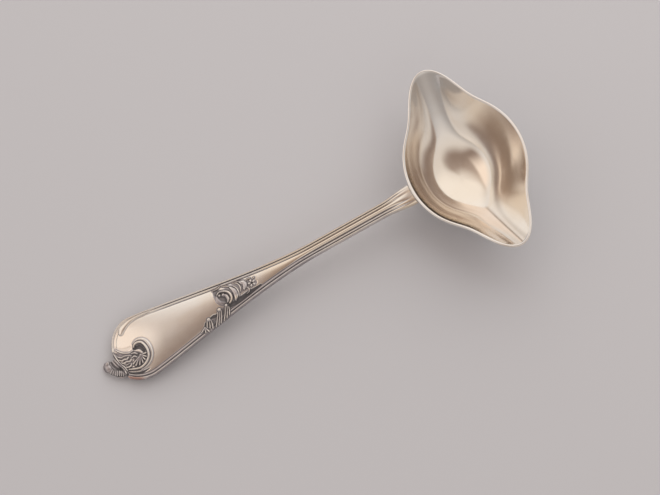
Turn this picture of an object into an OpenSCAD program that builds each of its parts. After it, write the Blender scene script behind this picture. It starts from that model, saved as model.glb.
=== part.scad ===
// Sauce ladle: a pressed bowl with two pouring lips, hard-soldered to a struck handle with a
// double thread border and scrolled ornament. All sizes are millimetres.
// +X runs from the handle's end to the far rim and +Z is up. The ladle lies as it rests on a
// table, and the origin is the middle of the flat under the bowl.

/* [Overall] */
// Length from the end of the handle to the far rim
total_length = 180; // [165:1:210]

/* [Bowl] */
// Length of the bowl's mouth along the handle
bowl_length = 46; // [40:1:56]
// Width of the bowl's oval mouth without its lips
bowl_width = 52; // [46:1:62]
// Height of the rim above the table at the middle of the mouth
bowl_depth = 22; // [18:0.5:28]
// Thickness of the bowl's sheet
bowl_wall = 1.2; // [0.8:0.1:1.8]
// Diameter of the flat under the bowl
foot_d = 12; // [9:0.5:18]
// How far each pouring lip stands out of the oval mouth
lip_reach = 13; // [7:0.5:17]
// Angle over which a lip fades into the oval mouth
lip_spread = 20; // [15:1:26]
// Angle by which the lips lean towards the far rim
lip_lean = 4; // [0:1:8]
// How far the points of the lips rise above the rim
lip_rise = 1; // [0:0.25:2.5]
// Slope of the rim, which is higher at its far side
rim_tilt = 10; // [4:0.5:14]
// Angle through which the bowl's side rolls from its flat to its rim
side_roll = 64; // [52:1:78]

/* [Handle] */
// Width of the broad end
end_w = 24.8; // [22:0.2:28]
// Distance from the handle's end to its widest point
widest_at = 17; // [15:0.5:19]
// Length of the rounded shoulder before the widest point, on the +Y side
shoulder_run = 11; // [9.5:0.5:13]
// Length of the rounded shoulder on the -Y side
low_shoulder_run = 13; // [11:0.5:15]
// Distance from the handle's end to where the stem reaches its slimmest
stem_from = 92; // [84:1:102]
// Width of the stem
stem_w = 5.7; // [4.8:0.1:6.6]
// How softly the sides of the handle start to draw in behind the broad end
side_ease = 1.25; // [1.1:0.05:1.5]
// How softly the sides of the handle run into the stem
side_draw = 1.7; // [1.3:0.05:2.1]
// Edge thickness of the broad end
end_edge = 2; // [1.6:0.1:2.8]
// Edge thickness of the stem
stem_edge = 2.6; // [2.2:0.1:3.4]
// Rise of the domed field above its border at the broad end
end_dome = 1.1; // [0.6:0.1:1.6]
// Rise of the ridge above the border along the stem
stem_dome = 0.7; // [0.4:0.1:1]
// Rise of the rounded back of the handle
back_dome = 0.5; // [0.3:0.1:0.9]
// Distance over which the domed field rounds down to its end
dome_run = 20; // [14:1:26]
// Slope of the handle at its end, which droops to the table
end_slope = 9; // [6:0.5:12]
// Height of the handle's arch over a straight line from end to rim
arch_rise = 1; // [0:0.5:4]

/* [Thread border] */
// Distance between the two threads of the border
thread_pitch = 1.05; // [0.85:0.05:1.2]
// Height of the threads above the grooves beside them
thread_h = 0.4; // [0.25:0.05:0.6]

/* [Scroll at the end] */
// Distance from the handle's end to the middle of the scroll
scroll_at = 14.6; // [13.5:0.1:17]
// Distance of the scroll's middle from the handle's middle line
scroll_off = 2.6; // [1:0.1:3.4]
// Radius of the scroll
scroll_r = 4.2; // [3.6:0.1:5]
// Turns of the scroll from its tail to its hook
scroll_turns = 0.75; // [0.6:0.05:0.95]
// Width of the scroll's ridge
scroll_w = 1.8; // [1.4:0.1:2.2]
// Height of the ornament above the field
ornament_h = 0.9; // [0.6:0.1:1.2]
// Fronds that run from the leaf bud into the scroll
frond_count = 6; // [3:1:7]
// Shell ribs in the hollow of the scroll
rib_count = 2; // [1:1:3]
// Lobes of the leaf bud at the very end
bud_lobes = 7; // [5:1:9]
// Radius of the leaf bud
bud_r = 4.8; // [4.4:0.1:5.5]
// Distance of the leaf bud's middle from the handle's middle line
bud_off = 1.9; // [0.5:0.1:2.8]
// Thickness of one lobe of the leaf bud
lobe_t = 2.6; // [2.2:0.1:2.8]

/* [Spray at the shoulder] */
// Distance from the handle's end to the start of the spray
spray_from = 39.5; // [37:0.5:42]
// Length of the spray along the handle
spray_run = 27.5; // [24:0.5:30]
// Knobs with hanging strands that rise from the lower border
finger_count = 3; // [2:1:4]
// Petals of the small flower that ends the spray
petal_count = 6; // [4:1:8]

/* [Joint] */
// Width of the handle's heel where it meets the bowl
heel_w = 8.4; // [7.4:0.2:11]
// Length of the flare from the stem into the heel
heel_run = 10; // [7:0.5:14]
// Length of the heel's drop down the outside of the bowl
drop_run = 11; // [8:0.5:14]
// Distance from the rim down to the top of the stem
rim_step = 0.6; // [0.4:0.1:1.2]
// Thickness of the solder between heel and bowl
solder_gap = 0.25; // [0.15:0.05:0.4]
// Width of the solder bead that shows around the heel
solder_bead = 0.5; // [0.3:0.1:0.8]

/* [Hidden] */

silver = "#cfc6ba";
solder = "#bdb6ac";

// Mesh steps
bowl_steps = 80;
bowl_rings = 12;
small_fn = 8;

mouth_a = bowl_length/2;
mouth_b = bowl_width/2;
foot_r = foot_d/2;
handle_run = total_length - bowl_length;
tip_x = -mouth_a - handle_run;

function clamp01(f) = min(1, max(0, f));
function mix(a, b, f) = a + (b - a)*f;
function unit(v) = v/norm(v);

// Bowl: the side is one swept surface of angle phi round the bowl and height share q, from
// the edge of the flat (q = 0) to the rim (q = 1)

// Share of the lip at an angle round the bowl, 1 at the points of the two lips
function lip(phi) = exp(-pow((abs(phi - 180) - 90 - lip_lean)/lip_spread, 2));

function mouth_r(phi) =
    mouth_a*mouth_b/sqrt(pow(mouth_b*cos(phi), 2) + pow(mouth_a*sin(phi), 2));

function rim_z(phi) =
    bowl_depth + mouth_r(phi)*cos(phi)*tan(rim_tilt) + lip_rise*lip(phi);

// The lips grow out of the side only near the rim
lip_growth = 2.4;

function side(phi, q) =
    let (
        roll = q*side_roll,
        r = foot_r + (mouth_r(phi) - foot_r)*sin(roll)/sin(side_roll)
            + lip_reach*lip(phi)*pow(max(q, 0), lip_growth),
        z = rim_z(phi)*(1 - cos(roll))/(1 - cos(side_roll))
    ) [r*cos(phi), r*sin(phi), z];

function side_normal(phi, q) =
    let (around = side(phi + 0.5, q) - side(phi - 0.5, q), up = side(phi, q + 0.01) - side(phi, q - 0.01))
    unit(cross(around, up));

// The side moved outwards by grow, or inwards where grow is negative
function skin(phi, q, grow) = side(phi, q) + grow*side_normal(phi, q);

function skin_ring(q, grow) =
    [for (i = [0:bowl_steps - 1]) skin(360*i/bowl_steps, q, grow)];

// Round edge of the rim, half a sheet above its two corners
function rim_ring() =
    [for (p = skin_ring(1, -bowl_wall/2)) p + [0, 0, 0.4*bowl_wall]];

function mean_point(ring) = [for (p = ring) 1/len(ring)]*ring;

// A closed solid through rings of equally many points, with a fan at each end
module ring_solid(rings) {
    n = len(rings[0]);
    m = len(rings);
    points = concat([for (r = rings) each r], [mean_point(rings[0]), mean_point(rings[m - 1])]);
    sides = [for (j = [0:m - 2], i = [0:n - 1]) let (k = (i + 1)%n)
        each [[j*n + i, (j + 1)*n + i, (j + 1)*n + k], [j*n + i, (j + 1)*n + k, j*n + k]]];
    first_fan = [for (i = [0:n - 1]) [m*n, i, (i + 1)%n]];
    last_fan = [for (i = [0:n - 1]) [m*n + 1, (m - 1)*n + (i + 1)%n, (m - 1)*n + i]];
    polyhedron(points, concat(sides, first_fan, last_fan));
}

// Solid cup of the bowl's outside, grown by an even skin
module bowl_form(grow) {
    ring_solid([for (j = [0:bowl_rings]) skin_ring(j/bowl_rings, grow)]);
}

module bowl() {
    color(silver)
        ring_solid(concat(
            [for (j = [0:bowl_rings]) skin_ring(j/bowl_rings, 0)],
            [rim_ring()],
            [for (j = [bowl_rings:-1:0]) skin_ring(j/bowl_rings, -bowl_wall)]
        ));
}

// Handle: places are given as s along it from its end, t across it and h above its middle plane

stem_top_z = rim_z(180) - rim_step;
end_z = end_edge/2 + back_dome - lobe_t/2*tan(end_slope);
neck_z = stem_top_z - stem_edge/2 - stem_dome;
end_pull_z = end_z + handle_run/3*tan(end_slope);
neck_pull_z = (8*((end_z + neck_z)/2 + arch_rise) - end_z - 3*end_pull_z - neck_z)/3;

// Height of the handle's middle plane, a curve that leaves the table at the end's slope
function middle_z(s) =
    let (f = s/handle_run, g = 1 - f)
    g*g*g*end_z + 3*f*g*g*end_pull_z + 3*f*f*g*neck_pull_z + f*f*f*neck_z;

function slope(s) = atan(middle_z(s + 0.5) - middle_z(s - 0.5));

function place(s, t, h) =
    let (a = slope(s)) [tip_x + s - h*sin(a), t, middle_z(s) + h*cos(a)];

// Share of the stem's section, from 0 at the broad end to 1 along the stem
function stem_share(s) =
    1 - pow(1 - pow(clamp01((s - widest_at)/(stem_from - widest_at)), side_ease), side_draw);

// Length of the rounded shoulder at t, which changes over the middle of the field
function round_run(t) = mix(low_shoulder_run, shoulder_run, clamp01(0.5 + t/(0.4*end_w)));

// Half width of the handle on one side, +1 or -1, drawn in by an even inset from its outline.
// The shoulders start blunt inside the leaf bud.
blunt = 0.01;
function half_w(s, inset = 0, side = 1) =
    s < widest_at
        ? (end_w/2 - inset)
            *sqrt(max(blunt, 1 - pow((widest_at - s)/(round_run(side*end_w) - inset), 2)))
        : mix(end_w, stem_w, stem_share(s))/2 - inset;

// Share of the thickness, which is rounded down where the bar starts inside the leaf bud
shoulder_length = max(shoulder_run, low_shoulder_run);
shoulder_from = widest_at - shoulder_length;
function start_share(s) = sqrt(1 - 0.8*pow(1 - clamp01((s - shoulder_from)/bud_r), 2));

function edge_h(s) = start_share(s)*mix(end_edge, stem_edge, stem_share(s))/2;
function back_rise(s) = start_share(s)*back_dome;
function dome(s) = mix(end_dome, stem_dome, stem_share(s));
function field_w(s, side = 1) = max(half_w(s, 2*thread_pitch, side), 0.28*half_w(s, 0, side));

// Height of the field, which is domed and rounds down to the border on all sides
function face_h(s, t) =
    let (
        across = min(1, abs(t)/field_w(s, sign(t))),
        field_from = widest_at - round_run(t) + 2*thread_pitch,
        along = clamp01(1 - (s - field_from)/dome_run)
    )
    edge_h(s) + dome(s)*(1 - across*across)*(1 - along*along);

// Half of a section as [inset from the edge, least share of the half width, height]
function half_section(s) =
    let (e = edge_h(s), p = thread_pitch, thread = start_share(s)*thread_h)
    [
        [0.6*p, 0.93, -e - 0.15*back_rise(s)],
        [0.05, 0.98, -0.5*e],
        [0, 1, 0.4*e],
        [0.1*p, 0.95, e],
        [0.5*p, 0.83, e + thread],
        [p, 0.66, e],
        [1.5*p, 0.49, e + thread],
        [2*p, 0.32, e],
    ];

// One side of a section, from the back round the edge and over the face
function section_side(s, side) =
    let (field = field_w(s, side), back = 0.5*half_w(s, 0, side))
    concat(
        [[side*back, -edge_h(s) - 0.75*back_rise(s)]],
        [for (c = half_section(s)) [side*max(half_w(s, c[0], side), c[1]*half_w(s, 0, side)), c[2]]],
        [for (f = [0.66, 0.33]) [side*f*field, face_h(s, side*f*field)]]
    );

function backwards(list) = [for (k = [len(list) - 1:-1:0]) list[k]];

// Closed section, from the middle of the back round by +t and over the face
function section(s) =
    concat(
        [[0, -edge_h(s) - back_rise(s)]],
        section_side(s, 1),
        [[0, face_h(s, 0)]],
        backwards(section_side(s, -1))
    );

// The stem is left long and then trimmed to the bowl's side
stem_over = 2.4;

// Stations stand closer together round the shoulders
shoulder_stations = 16;
body_stations = 44;
stations = concat(
    [for (i = [1:shoulder_stations]) shoulder_from + shoulder_length*(1 - cos(90*i/shoulder_stations))],
    [for (i = [1:body_stations]) mix(widest_at, handle_run + stem_over, i/body_stations)]
);

module bar() {
    ring_solid([for (s = stations) [for (c = section(s)) place(s, c[0], c[1])]]);
}

// A ridge that lies on the handle's face along a path of [s, t], slimmer at both ends
ridge_sink = 0.5;
function ridge_swell(f) = 0.35 + 0.65*sin(180*pow(f, 0.8));

module ridge(path, width, height) {
    n = len(path) - 1;
    ring_solid([for (i = [0:n])
        let (
            along = unit(path[min(i + 1, n)] - path[max(i - 1, 0)]),
            across = [-along[1], along[0]],
            w = width/2*ridge_swell(i/n),
            h = height*mix(0.6, 1, sin(180*i/n))
        )
        [for (c = [[-1, -ridge_sink], [1, -ridge_sink], [0.75, 0.6*h], [0, h], [-0.75, 0.6*h]])
            let (p = path[i] + c[0]*w*across)
            place(p[0], p[1], face_h(path[i][0], path[i][1]) + c[1])]
    ]);
}

// A round drop on the handle's face
module bead(p, r) {
    translate(place(p[0], p[1], face_h(p[0], p[1])))
        sphere(r, $fn = small_fn);
}

module leaf(p, q, r_p, r_q) {
    hull() {
        bead(p, r_p);
        bead(q, r_q);
    }
}

function polar(r, a) = r*[cos(a), sin(a)];

function spiral(middle, r_from, r_to, a_from, a_to, steps) =
    [for (i = [0:steps]) middle + polar(mix(r_from, r_to, i/steps), mix(a_from, a_to, i/steps))];

// A curve from p to q that bows out to its left
function bow(p, q, rise, steps) =
    let (control = (p + q)/2 + 2*rise*unit([p[1] - q[1], q[0] - p[0]]))
    [for (i = [0:steps]) let (f = i/steps) (1 - f)*(1 - f)*p + 2*f*(1 - f)*control + f*f*q];

// A curve with four control points
function curve(c, steps) =
    [for (i = [0:steps]) let (f = i/steps, g = 1 - f)
        g*g*g*c[0] + 3*f*g*g*c[1] + 3*f*f*g*c[2] + f*f*f*c[3]];

// Leaf bud: a fan of lobes at mid thickness that makes the very end of the handle
bud_middle = [bud_r, -bud_off];
bud_root = bud_middle + [0.7*bud_r, -0.1*bud_r];
bud_fan = 220;
root_share = 0.76;
bud_fill = 0.7;

function lobe_angle(i) = 180 - bud_fan/2 + bud_fan*i/(bud_lobes - 1);
function lobe_end(i) = bud_middle + polar(bud_r - lobe_t/2, lobe_angle(i));

// A ball at p that is turned along its lobe, so that the lobe has a crest
module bud_ball(i, p, share) {
    translate(place(p[0], p[1], lobe_t/2 - end_edge/2 - back_dome))
        rotate([0, 90, lobe_angle(i)])
            sphere(share*lobe_t/2/cos(180/small_fn), $fn = small_fn);
}

module bud() {
    for (i = [0:bud_lobes - 1])
        hull() {
            bud_ball(i, bud_root, root_share);
            bud_ball(i, lobe_end(i), 1);
        }
    hull()
        for (i = [0:bud_lobes - 1])
            bud_ball(i, lobe_end(i), bud_fill);
}

// Scroll at the end: a tail that flares out, a round sweep and a hook turned inwards
scroll_middle = [scroll_at, -scroll_off];
scroll_steps = 24;
tail_angle = 208;
tail_share = 0.35;
tail_flare = 0.5;
hook_share = 0.2;
hook_pull = 0.45;

function scroll_reach(f) =
    scroll_r*(1 + tail_flare*pow(max(0, 1 - f/tail_share), 2)
        - hook_pull*pow(max(0, (f - 1 + hook_share)/hook_share), 2));

// Part of the scroll's path, drawn in by a share
function scroll_path(from, to, share, steps) =
    [for (i = [0:steps]) let (f = mix(from, to, i/steps))
        scroll_middle + share*polar(scroll_reach(f), tail_angle + 360*scroll_turns*f)];

// A point of the end's ornament, in scroll radii from the scroll's middle
function end_point(a, b) = scroll_middle + scroll_r*[a, b];

module end_scroll() {
    ridge(scroll_path(0, 1, 1, scroll_steps), scroll_w, ornament_h);
    for (i = [1:rib_count])
        ridge(scroll_path(0.13, 0.62, 1 - i/(rib_count + 0.8), 9), 0.5*scroll_w, 0.6*ornament_h);
    for (i = [0:frond_count - 1]) {
        f = i/(frond_count - 1);
        from = mix(end_point(-1.7, 1.5), end_point(-1.45, -0.48), f);
        to = mix(end_point(-0.3, 0.57), end_point(-1.1, -0.62), f);
        ridge(bow(from, to, -0.28*scroll_r*(1 - f), 7), 0.5*scroll_w, 0.8*ornament_h);
    }
    ridge(bow(end_point(-2.15, 1), end_point(-1.6, -0.98), 0.3, 8), 0.5*scroll_w, ornament_h);
}

// Thumb: the inner thread of the upper border leaves it and ends in a broad leaf
thumb_run = 6.5;

module thumb() {
    from = widest_at + thumb_run;
    crest = 1.5*thread_pitch;
    ridge(curve([
        [from, half_w(from, crest)],
        [widest_at + 0.4*thumb_run, half_w(widest_at, crest)],
        [widest_at - 0.3*thumb_run, half_w(widest_at, 1.6*crest)],
        [widest_at - 0.65*thumb_run, half_w(widest_at, 2.8*crest)]
    ], 9), 2*thread_pitch, 0.8*ornament_h);
}

// Spray: knobs with strands on the lower border, then a C-scroll, petals and a flower

// A point of the spray as shares of its length and of the field's half width there
function spray_point(f, k) = let (s = spray_from + f*spray_run) [s, k*field_w(s)];

module spray_leaf(shares, width, height) {
    ridge(curve([for (c = shares) spray_point(c[0], c[1])], 7), width*scroll_w, height*ornament_h);
}

// The strands of all knobs but the first lean back towards the handle's end
strand_lean = 0.08;
strand_step = 0.025;

module spray_finger(f) {
    knob = spray_point(mix(0.153, 0.473, f), mix(-0.68, -0.52, f));
    foot_s = knob[0] - strand_lean*spray_run*min(1, 2*f);
    for (step = [-1, 1]*strand_step*spray_run)
        ridge(bow(knob, [foot_s + step, -half_w(foot_s + step, 0.8*thread_pitch)], 0.4, 5),
            0.5*scroll_w, 0.8*ornament_h);
    bead(knob, 0.42*scroll_w);
}

module spray_bud() {
    root = spray_point(0.09, -1.05);
    for (a = [180, 228, 276, 324])
        leaf(root, root + polar(0.055*spray_run, a), 0.28*scroll_w, 0.34*scroll_w);
}

module c_scroll() {
    middle = spray_point(0.513, 0.2);
    r = 0.53*field_w(middle[0]);
    ridge(spiral(middle, 1.1*r, 0.75*r, -75, 190, 14), 0.55*scroll_w, ornament_h);
    bead(middle + r*[-0.62, 0.34], 0.4*scroll_w);
    bead(middle + r*[-0.04, 0.16], 0.4*scroll_w);
}

module flower() {
    middle = spray_point(0.927, 0);
    r = 0.36*field_w(middle[0]);
    for (i = [0:petal_count - 1])
        leaf(middle, middle + polar(r, 360*i/petal_count), 0.17*scroll_w, 0.24*scroll_w);
}

module shoulder_spray() {
    spray_bud();
    for (i = [0:finger_count - 1])
        spray_finger(i/(finger_count - 1));
    c_scroll();
    spray_leaf([[0.425, 0.88], [0.393, 0.38], [0.404, 0], [0.447, -0.24]], 0.6, 0.8);
    spray_leaf([[0.498, 0.98], [0.564, 1.04], [0.618, 0.95], [0.69, 0.85]], 0.5, 0.7);
    spray_leaf([[0.662, 0.54], [0.69, 0.2], [0.684, -0.24], [0.651, -0.7]], 0.8, 0.9);
    spray_leaf([[0.716, 0.85], [0.76, 0.78], [0.78, 0.43], [0.742, 0.14]], 0.5, 0.8);
    spray_leaf([[0.767, 0.1], [0.804, 0.42], [0.847, 0.65], [0.89, 0.74]], 0.5, 0.6);
    spray_leaf([[0.804, -0.09], [0.833, -0.3], [0.836, -0.54], [0.815, -0.8]], 0.5, 0.8);
    flower();
}

// Heel: flares from the stem to the bowl's side and ends in a drop on the outside of the bowl
near_steps = [for (j = [1:bowl_rings]) norm(side(180, j/bowl_rings) - side(180, (j - 1)/bowl_rings))];
near_length = near_steps*[for (j = near_steps) 1];
drop_share = 1 - drop_run/near_length;
drop_r = 1.1;

module heel(grow) {
    half_t = stem_edge/2 + 0.6*stem_dome;
    side_r = 0.7*half_t;
    hull() {
        translate(place(handle_run - heel_run, 0, 0))
            sphere(stem_edge/2 + grow, $fn = 2*small_fn);
        for (y = [-1, 1])
            translate(place(handle_run, y*(heel_w/2 - side_r), 0))
                sphere(side_r + grow, $fn = 2*small_fn);
        translate(place(handle_run, 0, 0))
            sphere(half_t + grow, $fn = 2*small_fn);
        translate(skin(180, drop_share, 0))
            sphere(drop_r + grow, $fn = 2*small_fn);
    }
}

module handle() {
    color(silver)
        difference() {
            union() {
                bar();
                bud();
                end_scroll();
                thumb();
                shoulder_spray();
                heel(0);
            }
            bowl_form(solder_gap);
        }
}

module solder_seam() {
    color(solder)
        difference() {
            intersection() {
                bowl_form(solder_gap);
                heel(solder_bead);
            }
            bowl_form(0);
        }
}

bowl();
handle();
solder_seam();
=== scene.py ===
"""Dresses a sauce ladle: a pressed bowl with two pouring lips, a struck handle with a double thread
border, an end scroll and a shoulder spray, and the solder bead between the two."""

import logging
import math
from collections.abc import Sequence
from dataclasses import dataclass, field
from enum import Enum

import bpy
import numpy as np
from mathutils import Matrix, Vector


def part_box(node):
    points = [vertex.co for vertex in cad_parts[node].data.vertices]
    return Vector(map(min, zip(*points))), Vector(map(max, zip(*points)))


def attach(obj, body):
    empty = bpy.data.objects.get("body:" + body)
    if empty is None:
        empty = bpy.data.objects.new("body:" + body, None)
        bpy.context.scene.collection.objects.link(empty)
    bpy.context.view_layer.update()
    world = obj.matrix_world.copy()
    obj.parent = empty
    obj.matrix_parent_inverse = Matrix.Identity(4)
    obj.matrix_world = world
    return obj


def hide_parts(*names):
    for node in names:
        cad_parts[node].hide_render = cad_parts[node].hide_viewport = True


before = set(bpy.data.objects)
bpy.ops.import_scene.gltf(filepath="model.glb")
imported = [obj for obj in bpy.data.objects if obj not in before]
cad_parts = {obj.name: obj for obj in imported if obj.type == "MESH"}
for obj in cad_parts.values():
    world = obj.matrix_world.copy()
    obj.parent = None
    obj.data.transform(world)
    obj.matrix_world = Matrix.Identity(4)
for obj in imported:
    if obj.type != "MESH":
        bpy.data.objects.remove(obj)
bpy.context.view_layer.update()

MM = 0.001
BODY = "root"
TOTAL_LENGTH = 180.0
IMAGE_WIDTH = 660
SENSOR_WIDTH = 36.0
CURVE_STEPS = 12
BEAD_LENGTH = 0.1
# How steeply an outline draws in past its end
FALL_SLOPE = 12.0
# Where the handle's face is flattest, by distances along it
FLAT_RUN = (58.0, 67.0, 80.0, 96.0)

Array = np.ndarray
Number = int | float
Point = tuple[float, float]
Span = tuple[float, float]
Triple = tuple[float, float, float]
Colour = tuple[float, float, float]
Limits = tuple[float, float, float, float]

log = logging.getLogger("ladle")


def clamp01(value: Array) -> Array:
    """Keeps values between 0 and 1."""
    return np.clip(value, 0.0, 1.0)


def mix(low: Array, high: Array, share: Array) -> Array:
    """Runs from low to high as share runs from 0 to 1."""
    return low + (high - low) * share


def ease(start: float, stop: float, value: Array) -> Array:
    """Smooth step from 0 at start to 1 at stop."""
    share = clamp01((value - start) / (stop - start))
    return share * share * (3.0 - 2.0 * share)


def stretch(limits: Limits, value: Array) -> Array:
    """Smooth run up to 1 and back to 0, by where it starts, is full, begins to fade and ends."""
    return ease(*limits[:2], value) * (1.0 - ease(*limits[2:], value))


def soft_max(first: Array, second: Array, blend: float) -> Array:
    """The larger of two values, with a rounded change-over of about the blend's width."""
    return 0.5 * (first + second + np.sqrt((first - second) ** 2 + blend * blend))


def quarter_round(share: Array) -> Array:
    """Height share of a rounded edge, from 0 at the edge to 1 where it is level."""
    return np.sqrt(1.0 - (1.0 - clamp01(share)) ** 2)


def fall_away(past: Array) -> Array:
    """How far an outline draws in past its end."""
    return FALL_SLOPE * np.maximum(0.0, past)


def unit(vectors: Array) -> Array:
    """Scales vectors in the last axis to length 1."""
    return vectors / np.linalg.norm(vectors, axis=-1, keepdims=True)


def smooth_curve(points: Sequence[Point]) -> Array:
    """Samples a smooth curve that passes through all points.

    Args:
        points: Places the curve goes through, in order.

    Returns:
        An array of places along the curve, one row each.
    """
    knots = np.array(points, float)
    padded = np.vstack([2 * knots[0] - knots[1], knots, 2 * knots[-1] - knots[-2]])
    share = np.linspace(0, 1, CURVE_STEPS, endpoint=False)[:, None]
    runs = []
    for a, b, c, d in zip(padded, padded[1:], padded[2:], padded[3:]):
        bend = 2 * a - 5 * b + 4 * c - d
        twist = 3 * b - a - 3 * c + d
        runs.append(b + 0.5 * share * (c - a + share * (bend + share * twist)))
    runs.append(knots[-1:])
    return np.vstack(runs)


def stand(name: str, data: bpy.types.ID) -> bpy.types.Object:
    """Makes an object of a mesh, lamp or camera.

    Args:
        name: Name of the new object.
        data: What the object shows.

    Returns:
        The new object, linked to the scene.
    """
    made = bpy.data.objects.new(name, data)
    bpy.context.scene.collection.objects.link(made)
    return made


def new_piece(name: str, places: Array, quads: Array, fans: Sequence = ()) -> bpy.types.Object:
    """Makes a smooth closed mesh with all faces turned outwards.

    Args:
        name: Name of the new object.
        places: Corners in millimetres.
        quads: Four corners of each face, by number.
        fans: Three corners of each face that closes an end.

    Returns:
        The new object, linked to the scene.
    """
    a, b, c, d = (places[quads[:, k]] for k in range(4))
    volume = np.einsum("ij,ij->", a, np.cross(b, c)) + np.einsum("ij,ij->", a, np.cross(c, d))
    faces = quads.tolist() + list(fans)
    if volume < 0:
        faces = [tuple(reversed(face)) for face in faces]
    mesh = bpy.data.meshes.new(name)
    mesh.from_pydata((places * MM).tolist(), [], faces)
    mesh.polygons.foreach_set("use_smooth", np.ones(len(faces), bool))
    mesh.update()
    return stand(name, mesh)


def ring_faces(count: int, around: int, joined: bool) -> Array:
    """Numbers the faces between neighbouring rings of points.

    Args:
        count: How many rings there are.
        around: How many points each ring has.
        joined: Whether the last ring joins the first.

    Returns:
        Four corners of each face, by number.
    """
    row = np.arange(count if joined else count - 1)[:, None]
    here = np.arange(around)[None, :]
    this, after = row * around, (row + 1) % count * around
    beside = (here + 1) % around
    return np.stack([this + here, after + here, after + beside, this + beside], -1).reshape(-1, 4)


def closed_tube(name: str, rings: Array, films: dict[str, Array]) -> bpy.types.Object:
    """Makes a closed mesh through rings of equally many points, with a fan at each end.

    Args:
        name: Name of the new object.
        rings: Places in millimetres, shaped (rings, points, 3).
        films: Shares of tarnish or wear by name, each shaped (rings, points); on the handle the tarnish share
            also holds painted shade on its lower flank.

    Returns:
        The new object, linked to the scene.
    """
    count, around = rings.shape[:2]
    last = (count - 1) * around
    first_fan = [(count * around, k, (k + 1) % around) for k in range(around)]
    last_fan = [(count * around + 1, last + (k + 1) % around, last + k) for k in range(around)]
    places = np.vstack([rings.reshape(-1, 3), rings[[0, -1]].mean(axis=1)])
    made = new_piece(name, places, ring_faces(count, around, False), first_fan + last_fan)
    for film, share in films.items():
        values = np.concatenate([share.ravel(), share[[0, -1]].mean(axis=1)])
        attribute = made.data.attributes.new(film, "FLOAT", "POINT")
        attribute.data.foreach_set("value", values.astype(np.float32))
    return made


def closed_loop(name: str, rings: Array) -> bpy.types.Object:
    """Makes a ring-shaped mesh through sections of equally many points, the last joined to the first."""
    return new_piece(name, rings.reshape(-1, 3), ring_faces(*rings.shape[:2], True))


@dataclass(frozen=True)
class Grain:
    """Soft noise over a piece: waves to the millimetre along each axis, fineness, and turn in radians."""

    scale: Triple
    detail: float = 2.0
    turn: Triple = (0.0, 0.0, 0.0)


class Sock:
    """A shader value that can be used in Python expressions."""

    def __init__(self, book: "NodeBook", socket: bpy.types.NodeSocket | None) -> None:
        """Keeps the socket and the book that holds its node."""
        self.book = book
        self.socket = socket

    def maths(self, operation: str, first: "Sock | Number", second: "Sock | Number") -> "Sock":
        """Adds one Math node that joins two values."""
        return self.book.add("ShaderNodeMath", {"operation": operation}, {0: first, 1: second})

    def __add__(self, other: "Sock | Number") -> "Sock":
        """Sum of two values."""
        return self.maths("ADD", self, other)

    def __radd__(self, other: "Sock | Number") -> "Sock":
        """Sum with a number on the left."""
        return self.maths("ADD", other, self)

    def __sub__(self, other: "Sock | Number") -> "Sock":
        """Difference of two values."""
        return self.maths("SUBTRACT", self, other)

    def __rsub__(self, other: "Sock | Number") -> "Sock":
        """Difference from a number on the left."""
        return self.maths("SUBTRACT", other, self)

    def __mul__(self, other: "Sock | Number") -> "Sock":
        """Product of two values."""
        return self.maths("MULTIPLY", self, other)

    def __rmul__(self, other: "Sock | Number") -> "Sock":
        """Product with a number on the left."""
        return self.maths("MULTIPLY", other, self)

    def clamped(self) -> "Sock":
        """The value kept between 0 and 1."""
        settings = {"operation": "ADD", "use_clamp": True}
        return self.book.add("ShaderNodeMath", settings, {0: self, 1: 0.0})


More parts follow.
